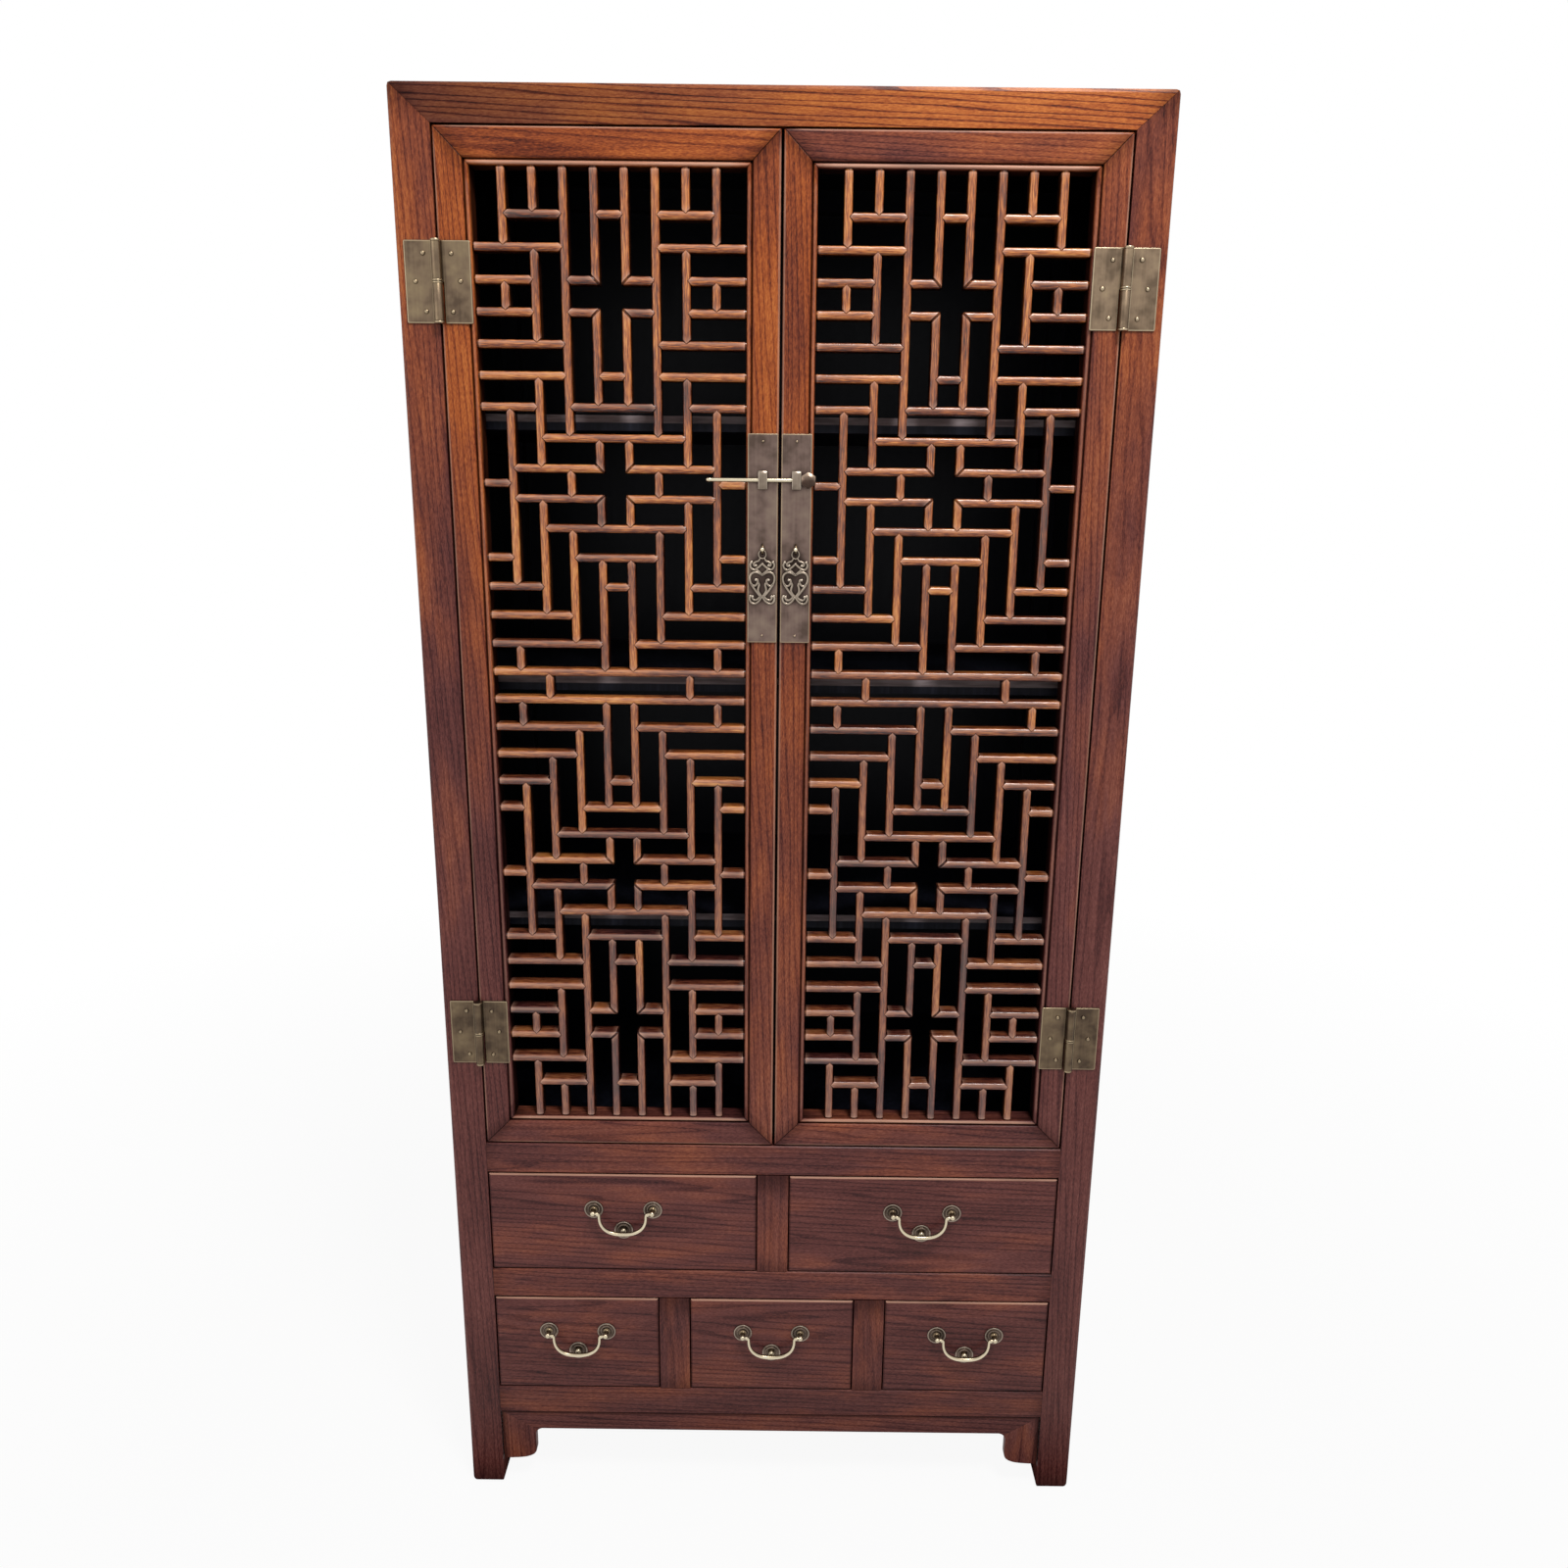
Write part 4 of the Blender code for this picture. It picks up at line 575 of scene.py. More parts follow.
def turned(profile, centre, axis, sides=28, seam=None, ripple=None, ripples=26):
    """A profile of (radius, height) in millimetres turned about an axis: the point at angle v is the centre
    plus height along the axis plus radius times the circle at v. A ripple lifts its rows by a share of
    its own height times (1 + cos(ripples v)) / 2, as a row of beads."""
    radius, height = np.array(profile).T * MM
    angle = round_angles(sides)
    one, other = (DIRECTION[name] for name in CROSSWAYS[axis])
    circle = np.cos(angle)[:, None] * one + np.sin(angle)[:, None] * other
    lift = np.repeat(height[:, None], sides, 1)
    if ripple is not None:
        lift = lift + np.array(ripple)[:, None] * MM * (1 + np.cos(ripples * angle)) / 2
    rings = np.array(centre) + lift[:, :, None] * DIRECTION[axis] + radius[:, None, None] * circle
    return skin(rings, seam=seam)


def drawn_wire(path, radius, out="-Y", sides=12, crest=-0.85):
    """A wire along a path that lies in a plane: at each point a ring of radius r across the path, with ends
    rounded off by radius r cos(t) at distance r sin(t). Its crest out of the plane gets a painted
    highlight, and its sides painted shade."""
    path = np.asarray(path, float)
    radius = np.broadcast_to(radius, len(path)).astype(float)
    way = unit(np.gradient(path, axis=0))
    turn = np.radians(WIRE_END_TURNS)
    head = path[0] - (radius[0] * np.sin(turn[::-1]))[:, None] * way[0]
    tail = path[-1] + (radius[-1] * np.sin(turn))[:, None] * way[-1]
    path = np.vstack([head, path, tail])
    way = np.vstack([np.repeat(way[:1], len(turn), 0), way, np.repeat(way[-1:], len(turn), 0)])
    radius = np.concatenate([radius[0] * np.cos(turn[::-1]), radius, radius[-1] * np.cos(turn)])
    across = np.cross(way, DIRECTION[out])
    angle = round_angles(sides)
    ring = np.cos(angle)[:, None] * across[:, None] + np.sin(angle)[:, None] * DIRECTION[out]
    seam = SIDE_SEAM + (crest - SIDE_SEAM) * np.clip(np.sin(angle), 0, 1)
    return skin(path[:, None] + radius[:, None, None] * ring, seam=np.tile(seam, (len(path), 1)))


def smooth_line(points, steps=7):
    """A curve through points: on each stretch the Catmull-Rom cubic of its two points and their two
    neighbours."""
    points = np.asarray(points, float)
    padded = np.vstack([2 * points[0] - points[1], points, 2 * points[-1] - points[-2]])
    t = np.linspace(0, 1, steps, endpoint=False)[:, None]
    weights = np.hstack([
        -t + 2 * t**2 - t**3, 2 - 5 * t**2 + 3 * t**3, t + 4 * t**2 - 3 * t**3, t**3 - t**2]) / 2
    windows = np.stack([padded[place:len(padded) - 3 + place] for place in range(4)], 1)
    line = np.einsum("sk,nkd->nsd", weights, windows).reshape(-1, points.shape[1])
    return np.vstack([line, points[-1]])


OUTLINE_STEPS = 4


def rounded_rectangle(half_width, half_height, corner):
    """Points round a rectangle: a quarter circle of the corner's radius about each corner's centre."""
    angle = np.linspace(0, np.pi / 2, OUTLINE_STEPS)
    quarters = np.arange(4)[:, None] * np.pi / 2 + angle
    signs = np.array([[1, 1], [-1, 1], [-1, -1], [1, -1]])
    centres = signs * [half_width - corner, half_height - corner]
    circle = joined(np.cos(quarters), np.sin(quarters)) * corner
    return (centres[:, None] + circle).reshape(-1, 2)


FLAT_RIM = 0.9 * MM
EASE_STEPS = 5
LEAST_CORNER = 0.1 * MM


def eased(radius):
    """A quarter circle from a board's side to its face: insets r (1 - cos t) and depths r (1 - sin t)."""
    turn = np.linspace(0, np.pi / 2, EASE_STEPS)
    return radius * (1 - np.cos(turn)), radius * (1 - np.sin(turn))


def upright_at(depth, flat):
    """Flat points (x, z) set upright at a depth, or each at its own."""
    return joined(flat[..., 0], depth, flat[..., 1])


def rounded_board(low, high, ease, corner, rubbed=-0.8, elsewhere=None, back_ease=0.3 * MM):
    """A board or plate that faces front: rounded rectangles stacked from back to front, drawn in by
    e (1 - cos t) and set back by e (1 - sin t) along the eased front edge, which is rubbed bright as wear
    and as a painted highlight: all round, or, by the sine of the outline's angle, along the top, with
    another seam elsewhere."""
    low, high = np.array(low), np.array(high)
    insets, depths = eased(ease)
    inset = np.concatenate([[back_ease + FLAT_RIM, back_ease, 0.0], insets, [ease + FLAT_RIM]])
    depth = np.concatenate([[high[1], high[1], high[1] - back_ease], low[1] + depths, [low[1]]])
    half_width, _, half_height = (high - low) / 2
    middle = (high + low)[[0, 2]] / 2
    rings = []
    for draw_in, y in zip(inset, depth):
        outline = rounded_rectangle(
            half_width - draw_in, half_height - draw_in, max(corner - draw_in, LEAST_CORNER))
        rings.append(upright_at(y, middle + outline))
    quarter, step = np.divmod(np.arange(len(outline)), OUTLINE_STEPS)
    around = (quarter + step / (OUTLINE_STEPS - 1)) * np.pi / 2
    upward = np.clip(np.sin(around), 0, 1) if elsewhere is not None else np.ones(len(outline))
    edge_seam = upward * rubbed + (1 - upward) * (elsewhere or 0.0)
    seam = np.zeros(len(rings))
    seam[4:-1] = 1.0
    return skin(np.array(rings), seam=seam[:, None] * edge_seam)


def carried_section(section, axis, start, end, centre, joint, groove=0.0):
    """A section carried along X or Z: each section point (across, y) is drawn from its own start to its own
    end, so that the ends can be pointed or mitred. Joint gives the laps in from the ends where rows lie,
    the seam there, and how far the face sinks; groove adds to the seam of each section point."""
    laps, seam, sink = np.array(joint).T
    stations = np.vstack([start + laps[:, None] * MM, end - laps[::-1, None] * MM])
    across = centre + section[:, 0]
    sunk = section[:, 1] + np.concatenate([sink, sink[::-1]])[:, None] * MM
    depth = np.minimum(sunk, section[:, 1].max())
    order = [stations, depth, across] if axis == "X" else [across, depth, stations]
    seams = np.concatenate([seam, seam[::-1]])[:, None] + np.broadcast_to(groove, stations.shape)
    return with_grain(skin(joined(*order), seam=seams), axis)


SHADE_REACH = 12 * MM
SHADE_SEAM = 0.8


def ruled_board(edge_a, edge_b, front, thickness, ease):
    """An upright board ruled between two edge lines of (x, z): across each rule the section runs from edge
    a to edge b at depth 0, with both front corners eased by the quarter circle e (1 - cos t),
    e (1 - sin t). It is darkened along edge a, where it meets the frame."""
    insets, depths = eased(ease)
    inset = np.concatenate([[0.0], insets, [ease + FLAT_RIM]])
    depth = np.concatenate([[thickness], depths, [0.0]])
    rule = edge_b - edge_a
    width = np.linalg.norm(rule, axis=1, keepdims=True)
    share = np.hstack([inset / width, SHADE_REACH / width, 1 - inset[::-1] / width])
    depth = np.concatenate([depth, [0.0], depth[::-1]])
    flat = edge_a[:, None] + share[:, :, None] * rule[:, None]
    shade = np.zeros(flat.shape[:2])
    shade[:, :len(inset)] = SHADE_SEAM
    return skin(upright_at(front + depth, flat), seam=shade)


# Solids that keep their shape: each gets elm with its own log, or the lacquer of the inside

# Node: direction of the grain, warmth of the stain, its lean along the grain, darkness of the lines
SOLID_ELM = {
    "post_front_left": ("Z", -0.38, 0.0, 0.26), "post_front_right": ("Z", -0.48, 0.0, 0.26),
    "post_back_left": ("Z", -0.3, 0.0, 0.2), "post_back_right": ("Z", -0.3, 0.0, 0.2),
    "drawer_divider_upper": ("Z", 0.15, 0.0, 0.2), "drawer_divider_lower_left": ("Z", 0.15, 0.0, 0.2),
    "drawer_divider_lower_right": ("Z", 0.15, 0.0, 0.2), "top_rail_front": ("X", -0.15, 1.2, 0.42),
    "sill_rail": ("X", 0.12, 0.0, 0.28), "drawer_rail_middle": ("X", 0.12, 0.0, 0.28),
    "bottom_rail_front": ("X", 0.07, 0.0, 0.28), "top_rail_left": ("Y", -0.3, 0.0, 0.25),
    "top_rail_right": ("Y", -0.3, 0.0, 0.25), "side_panel_left": ("Z", -0.1, 0.0, 0.25),
    "side_panel_right": ("Z", -0.1, 0.0, 0.25), "back_panel": ("Z", -0.1, 0.0, 0.25),
    "top_panel": ("X", -0.3, 0.0, 0.25),
}
# The top rail has painted shade towards its left, away from the lamp, and light wood between its lines at
# its right
MORE_OF_ELM = {"top_rail_front": {"painted_shade_along": (-0.36, 0.2, 0.46), "lift": 0.16}}
WIDE_BOARDS = ["side_panel_left", "side_panel_right", "back_panel", "top_panel"]
# Wide boards are stained evenly; they and the front posts show arches
EVEN_STAIN = {"patches": 0.7}
ARCHED = WIDE_BOARDS + ["post_front_left", "post_front_right"]
SHELVES = ["shelf_upper", "shelf_middle", "shelf_lower"]
DRAWERS = ["upper_left", "upper_right", "lower_left", "lower_middle", "lower_right"]
SKIN = 0.6 * MM
TOP_PANEL_UNDER, TOP_PANEL_OVER = (corner[2] for corner in corners("top_panel"))
# Faces of the solids that the lacquer of the inside covers: past each (axis, sign, level)
UNDER_TOP = (2, -1, TOP_PANEL_UNDER)
BEHIND_DOORS = (1, 1, DOOR_BACK)
BEFORE_BACK = (1, -1, BACK_INNER + SKIN)
INSIDE = {
    "back_panel": [BEFORE_BACK, UNDER_TOP], "top_panel": [(2, -1, TOP_PANEL_OVER - SKIN)],
    "top_rail_front": [BEHIND_DOORS, UNDER_TOP],
}
for side_name, side_sign in (("left", 1), ("right", -1)):
    within_side = (0, side_sign, -side_sign * (PANEL_INNER + SKIN))
    INSIDE["post_front_" + side_name] = [BEHIND_DOORS, within_side]
    INSIDE["post_back_" + side_name] = [BEFORE_BACK, within_side]
    INSIDE["side_panel_" + side_name] = [within_side]
    INSIDE["top_rail_" + side_name] = [within_side, UNDER_TOP]


def finish_solids():
    """Gives the CAD nodes that stay their materials."""
    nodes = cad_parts
    for node, (along, warmth, lean, figure) in SOLID_ELM.items():
        low, high = corners(node)
        run = GRAIN_ORDER[along][0]
        middle = (low + high) / 2
        shift = log_shift(BEHIND if node in ARCHED else BESIDE)
        heart = shift - middle[GRAIN_ORDER[along]]
        heart[0] = shift[0]
        ends = (middle[run], (high[run] - low[run]) / 2)
        nodes[node].material_slots[0].material = stained_elm(
            "elm_" + node, along, tuple(heart), warmth, lean, figure, ends, INSIDE.get(node, ()),
            **(EVEN_STAIN if node in WIDE_BOARDS else {}), **MORE_OF_ELM.get(node, {}))
    for node in SHELVES:
        low, high = corners(node)
        nodes[node].material_slots[0].material = dark_lacquer("worn_lacquer_" + node, (low[1], high[2]))
    nodes["cabinet_floor"].material_slots[0].material = LACQUER
    for drawer_name in DRAWERS:
        nodes["drawer_tray_" + drawer_name].material_slots[0].material = POPLAR


WORKED_ELM = stained_elm("stained_elm_worked", figure=0.32)
DOOR_ELM = stained_elm("stained_elm_doors", warmth=0.05, figure=0.3, deep=[BEHIND_FACE])
DARKENED_ELM = stained_elm("stained_elm_darkened", warmth=-0.5, figure=0.3, deep=[BEHIND_FACE])
# Painted reflection: cool and grey low on the left outer stile
REFLECTION_PAINTED_ELM = stained_elm("stained_elm_painted_reflection", warmth=-0.99, lean=0.67, figure=0.3, deep=[BEHIND_FACE])
BAR_ELM = stained_elm("stained_elm_bars", warmth=0.12, figure=0.1, deep=[BEHIND_FACE, BAR_SIDES],
                      finish=BAR_FINISH)
# Door members whose stain has gone darker than the others', and the left outer stile, cool and grey below
# the upper hinge as a painted reflection
DOOR_STAINS = {
    "right_door_stile_outer": DARKENED_ELM, "right_door_rail_top": DARKENED_ELM,
    "left_door_stile_outer": REFLECTION_PAINTED_ELM,
}

# Apron

SPANDREL_WIDTH = 48 * MM
SPANDREL_RULES = 40
SWEEP_STEPS = 12
FILLET_STEPS = 17
FILLET = 11 * MM
CORNER_SWEEP = 34 * MM
CORNER_RISE = 15 * MM
CORNER_FULLNESS = 2.5
APRON_CLEARANCE = 0.092
APRON_EASE = 1.2 * MM
MITRE_STEP = 0.15 * MM


def stretched_line(points, count):
    """Points spaced evenly by length along a line."""
    steps = np.linalg.norm(np.diff(points, axis=0), axis=1)
    length = np.concatenate([[0.0], np.cumsum(steps)])
    even = np.linspace(0, length[-1], count)
    return np.stack([np.interp(even, length, points[:, axis]) for axis in range(2)], -1)


def apron():
    """The apron board and its two spandrels, mitred at 45 degrees: each ruled between its two edges. A
    spandrel's inner edge is a superellipse corner, an upright, and half of the fillet's quarter circle; the
    board's lower edge has the other halves."""
    low, high = corners("apron_front")
    half, top, foot = high[0], high[2], low[2]
    inner = half - SPANDREL_WIDTH
    turn = np.linspace(0, np.pi / 2, SWEEP_STEPS)
    power = 2 / CORNER_FULLNESS
    sweep = joined(
        inner + CORNER_SWEEP * (1 - np.sin(turn) ** power),
        foot + CORNER_RISE * (1 - np.cos(turn) ** power))
    quarter = np.linspace(0, np.pi / 2, FILLET_STEPS)
    fillet = joined(
        inner - FILLET + FILLET * np.cos(quarter), APRON_CLEARANCE - FILLET + FILLET * np.sin(quarter))
    split = len(quarter) // 2
    inner_edge = stretched_line(np.vstack([sweep, fillet[:split + 1]]), SPANDREL_RULES)
    outer_edge = stretched_line(np.array([[half, foot], [half, top]]), SPANDREL_RULES)
    thickness = high[1] - low[1]
    shells = []
    for side in (-1, 1):
        flip = np.array([side, 1.0])
        spandrel = ruled_board(outer_edge * flip, inner_edge * flip, low[1], thickness, APRON_EASE)
        shells.append(with_grain(spandrel, "Z"))
    right = fillet[split:] - [MITRE_STEP, 0.0]
    under = np.vstack([right * [-1, 1], right[::-1]])
    reach = (half - MITRE_STEP) / under[-1, 0]
    over = joined(under[:, 0] * reach, top)
    shells.append(with_grain(ruled_board(over, under, low[1], thickness, APRON_EASE), "X"))
    make("apron_and_spandrels", shells, WORKED_ELM, "carcase", "apron_front")


# Doors: moulded frames and the lattice

BEAD = 5.2 * MM
BEAD_DROP = 1.4 * MM
BEAD_STEPS = 9
QUIRK = 1.5 * MM
QUIRK_DEPTH = 4.4 * MM
THUMB = 4.2 * MM
THUMB_DROP = 2.6 * MM
OUTER_EASE = 2.6 * MM
MITRE_GAP = 0.1 * MM
# Millimetres in from the end, the seam there, and how far the face sinks; a bar's negative seams paint a
# highlight round the rim of its pointed end
MITRE_JOINT = [(0.0, 1.0, 0.3), (0.6, 0.6, 0.0), (1.8, 0.5, 0.0), (22.0, 0.0, 0.0)]
BAR_JOINT = [(0.0, 1.0, 0.3), (1.7, 1.0, -0.1), (2.4, -0.5, -0.25), (4.5, -0.2, -0.1), (9.0, 0.0, 0.0)]
# Seams of a door member's section: painted shade in the quirk, the outer edge rubbed light as wear and as a
# painted highlight, and the bead's sides darker
GROOVE = 0.9
EDGE_WEAR_AND_HIGHLIGHT = -0.5
BEAD_SIDE = 0.55
# A stile's bead and a rail's: painted highlights along their crests, the rail's brighter
STILE_BEAD, RAIL_BEAD = -0.2, -0.9


def moulded_section(width, thickness, crest_seam):
    """A door member's section from its outer edge in: eased edge, flat, thumb moulding, quirk and bead,
    each curve a quarter or half ellipse in (across, depth), and the seam along each of its points."""
    quarter = np.linspace(0, np.pi / 2, EASE_STEPS)
    half = np.linspace(0, np.pi, BEAD_STEPS)
    ease = joined(*eased(OUTER_EASE))
    bead = width - BEAD
    thumb = bead - QUIRK - THUMB
    flat = np.array([[OUTER_EASE + FLAT_RIM, 0.0], [thumb - FLAT_RIM, 0.0]])
    shoulder = joined(thumb + THUMB * np.sin(quarter), THUMB_DROP * (1 - np.cos(quarter)))
    quirk = np.array([[bead - QUIRK, QUIRK_DEPTH], [bead, QUIRK_DEPTH]])
    crest = joined(
        bead + BEAD / 2 * (1 - np.cos(half)), QUIRK_DEPTH - (QUIRK_DEPTH - BEAD_DROP) * np.sin(half))
    back = np.array([[width, thickness], [0.0, thickness]])
    section = np.vstack([ease, flat, shoulder, quirk, crest[1:], back])
    groove = np.zeros(len(section))
    first = len(ease) + len(flat) + len(shoulder)
    groove[1:len(ease) - 1] = EDGE_WEAR_AND_HIGHLIGHT
    groove[first - 1:first + 2] = GROOVE / 2, GROOVE, GROOVE
    groove[first + 2:-2] = BEAD_SIDE + (crest_seam - BEAD_SIDE) * np.sin(half[1:])
    return section, groove


def door_frame(side):
    """The four mitred members of a door: the section carried along each, its ends cut back by its distance
    from the outer edge times the other member's width over its own."""
    body = side + "_door"
    stile_low, stile_high = corners(body + "_stile_outer")
    rail_low, rail_high = corners(body + "_rail_top")
    stile_width = stile_high[0] - stile_low[0]
    rail_height = rail_high[2] - rail_low[2]
    outer_is_low = {
        "stile_outer": side == "left", "stile_meeting": side == "right", "rail_top": False,
        "rail_bottom": True}
    for kind, from_low in outer_is_low.items():
        node = body + "_" + kind
        low, high = corners(node)
        upright = kind.startswith("stile")
        across = 0 if upright else 2
        width, other = (stile_width, rail_height) if upright else (rail_height, stile_width)
        section, groove = moulded_section(width, DOOR_BACK - FACE, STILE_BEAD if upright else RAIL_BEAD)
        cut = section[:, 0] * other / width + MITRE_GAP
        section *= [1 if from_low else -1, 1]
        section[:, 1] += FACE
        shell = carried_section(
            section, "Z" if upright else "X", low[2 - across] + cut, high[2 - across] - cut,
            low[across] if from_low else high[across], MITRE_JOINT, groove)
        make(node + "_moulded", [shell], DOOR_STAINS.get(node, DOOR_ELM), body, node)


COLUMNS = 9
ROWS = 33
MARGIN = 0.43
EDGE = -MARGIN
BAR_WIDTH = 9.5 * MM
BAR_CROWN = 3.6 * MM
CROWN_STEPS = 13
BAR_FULLNESS = 2.7
# Seams of the bars: the middle of the crown is rubbed light, which also paints its highlight, the upper
# shoulder of a crossbar gets a painted highlight, and its underside painted shade. The shoulder's place
# and reach are shares of the half width
CREST_SEAM = -0.15
SHOULDER_SEAM = -0.5
SHOULDER, SHOULDER_REACH = 0.5, 0.35
UNDERSIDE_SEAM = 0.5
# A quarter of the pattern: uprights as (column, first row, last row), crossbars as (row, first column,
# last column)
UPRIGHTS = [
    (1, EDGE, 2), (2, EDGE, 1), (3, EDGE, 8), (4, EDGE, 3), (2, 2, 5), (1, 3, 4), (4, 4, 7), (2, 6, 9),
    (1, 7, 13), (4, 8, 9), (3, 9, 10), (4, 10, 11), (2, 10, 14), (3, 11, 15), (4, 12, 16), (1, 15, 16),
    (2, 16, 17),
]
CROSSBARS = [
    (1, 1, 3), (1, 4, 5), (2, 0, 3), (3, 0, 2), (3, 3, 4), (4, 0, 2), (4, 3, 4), (5, 0, 3), (6, 0, 3),
    (6, 4, 5), (7, 0, 2), (7, 3, 6), (8, 2, 7), (9, 1, 4), (9.5, 0, 1), (10, 1, 4), (11, 2, 7), (12, 0, 1),
    (12, 3, 6), (13, 0, 2), (13, 4, 5), (14, 0, 3), (15, 0, 4), (16, 0, 9),
]


def whole_pattern(quarter, along_count, across_count):
    """All four mirror images of a quarter's lines, without repeats."""
    whole = set()
    for line, start, end in quarter:
        for image in (line, across_count - line):
            whole.add((image, start, end))
            whole.add((image, along_count - end, along_count - start))
    return sorted(whole)


def bar_end(line, end, others, section):
    """How far each point of a bar's section stops short of the line where it ends: by its distance from the
    middle at a pointed T, and by its distance to the inner side at a mitred corner."""
    if any(other == end and start < line < stop for other, start, stop in others):
        return np.abs(section[:, 0])
    turns = [
        1 if start == line else -1
        for other, start, stop in others if other == end and line in (start, stop)]
    if len(turns) == 1:
        return turns[0] * section[:, 0]
    return np.abs(section[:, 0])


def lattice(side):
    """A door's lattice: bars, each a section with a superellipse for its crown, carried from one crossing
    line to another."""
    body = side + "_door"
    low, high = corners(body + "_lattice")
    left, bottom = low[0] - SEAT, low[2] - SEAT
    right, top = high[0] + SEAT, high[2] + SEAT
    column_pitch = (right - left) / COLUMNS
    row_pitch = (top - bottom) / (ROWS + 2 * MARGIN)
    half = BAR_WIDTH / 2
    turn = np.linspace(0, np.pi, CROWN_STEPS)
    power = 2 / BAR_FULLNESS
    reach = -half * np.sign(np.cos(turn)) * np.abs(np.cos(turn)) ** power
    crown = joined(reach, low[1] + BAR_CROWN * (1 - np.sin(turn).clip(0) ** power))
    section = np.vstack([crown, [[half, high[1]], [-half, high[1]]]])
    flipped = section * [-1, 1]
    uprights = whole_pattern(UPRIGHTS, ROWS, COLUMNS)
    crossbars = whole_pattern(CROSSBARS, COLUMNS, ROWS)
    square = np.zeros(len(section))
    share = section[:, 0] / half
    # Painted highlight along the middle of the crown, with some wear
    rubbed = CREST_SEAM * (1 - np.abs(share))
    on_shoulder = np.clip(1 - np.abs(share - SHOULDER) / SHOULDER_REACH, 0, 1)
    crossbar_seam = rubbed + SHOULDER_SEAM * on_shoulder + UNDERSIDE_SEAM * np.clip(-share, 0, 1)
    bars = []
    for row, start, end in crossbars:
        first = square if start == 0 else bar_end(row, start, uprights, flipped)
        last = square if end == COLUMNS else bar_end(row, end, uprights, flipped)
        bars.append(carried_section(
            section, "X", left + start * column_pitch + first, left + end * column_pitch - last,
            top - (row + MARGIN) * row_pitch, BAR_JOINT, crossbar_seam))
    for column, start, end in uprights:
        upper = square if start < 0 else bar_end(column, start, crossbars, section)
        lower = square if end > ROWS else bar_end(column, end, crossbars, section)
        bars.append(carried_section(
            section, "Z", top - (end + MARGIN) * row_pitch + lower,
            top - (start + MARGIN) * row_pitch - upper, left + column * column_pitch, BAR_JOINT, rubbed))
    make(body + "_lattice_bars", bars, BAR_ELM, body, body + "_lattice")


# Hinges

BARREL_RADIUS = 5.5
# Profile of a knuckle as (radius, height) in millimetres: its collar from the hinge's middle, its lip from
# the hinge's end, and the seam of their rows, which paints highlights on the bulges and shade beside them
COLLAR = [(5.0, 0.2), (5.7, 0.5), (5.9, 1.2), (5.7, 1.9), (5.2, 2.3), (5.5, 2.9)]
LIP = [(5.5, -2.6), (5.2, -2.3), (5.7, -1.7), (5.8, -0.6), (5.4, 0.3), (3.6, 0.9)]
COLLAR_SEAM = [0.3, -0.6, -1.0, -0.6, 0.3, 0.0]
LIP_SEAM = [0.0, 0.3, -0.5, -0.7, -0.6, 0.0]
NAIL_SLIP = 0.7
NAIL = [(2.9, -0.6), (2.9, 0.3), (2.5, 1.1), (1.7, 1.7), (0.7, 2.0)]
# Seam of a nail's rows from its foot to its top: painted shade round the foot and a painted highlight on
# the dome
NAIL_SEAM = [0.5, 0.3, 0.0, -0.4, -0.8]
HINGE_NAILS = [(16.5, 30.5), (25.2, 0.8), (15.6, -31.0)]
LEAF_THICKNESS = 1.6 * MM
LEAF_EASE = 0.7 * MM
LEAF_CORNER = 1.6 * MM
LEAF_CLEARANCE = 0.6 * MM


def nail(x, y, z, scale=1.0):
    """A domed nail head on a plate's face, its size varied by chance."""
    size = scale * chance.uniform(0.92, 1.08)
    return turned(np.array(NAIL) * size, (x, y, z), "-Y", sides=14, seam=NAIL_SEAM)


def hinge_leaf(level, side, on_frame):
    """A hinge leaf with its knuckle and three nails: an eased plate, and a turned barrel with a lip at its
    end and a collar where the two knuckles meet."""
    node = f"hinge_{level}_{side}_" + ("frame_leaf" if on_frame else "door_leaf")
    low, high = corners(node)
    outward = (1 if side == "right" else -1) * (1 if on_frame else -1)
    radius = BARREL_RADIUS * MM
    axis_x = low[0] + radius if outward > 0 else high[0] - radius
    axis_y = low[1] + radius
    near = axis_x + outward * (radius + LEAF_CLEARANCE)
    far = high[0] if outward > 0 else low[0]
    leaf_front = high[1] - LEAF_THICKNESS
    plate_low = (min(near, far), leaf_front, low[2])
    plate_high = (max(near, far), high[1], high[2])
    shells = [rounded_board(plate_low, plate_high, LEAF_EASE, LEAF_CORNER)]
    middle = (low[2] + high[2]) / 2
    half = (high[2] - low[2]) / 2 / MM
    up = -1 if on_frame else 1
    barrel = COLLAR + [(lip_radius, half + rise) for lip_radius, rise in LIP]
    knuckle = np.array(barrel) * [1, up]
    shells.append(turned(knuckle, (axis_x, axis_y, middle), "Z", sides=24, seam=COLLAR_SEAM + LIP_SEAM))
    web_low = (min(axis_x, near + outward * MM), leaf_front, middle if up > 0 else low[2])
    web_high = (max(axis_x, near + outward * MM), high[1], high[2] if up > 0 else middle)
    shells.append(rounded_board(web_low, web_high, SEAT, SEAT, rubbed=0.0))
    for across, height in HINGE_NAILS:
        slip = chance.uniform(-NAIL_SLIP, NAIL_SLIP, 2)
        shells.append(nail(axis_x + outward * (across + slip[0]) * MM, leaf_front,
                           middle + (height + slip[1]) * MM))
    body = "carcase" if on_frame else side + "_door"
    make(node + "_cast", shells, HINGE_BRASS_BY_LIGHT[level, side], body, node)


# Lock plates, pulls and pin

PLATE_THICKNESS = 1.6 * MM
PLATE_EASE = 0.6 * MM
PLATE_CORNER = 0.9 * MM
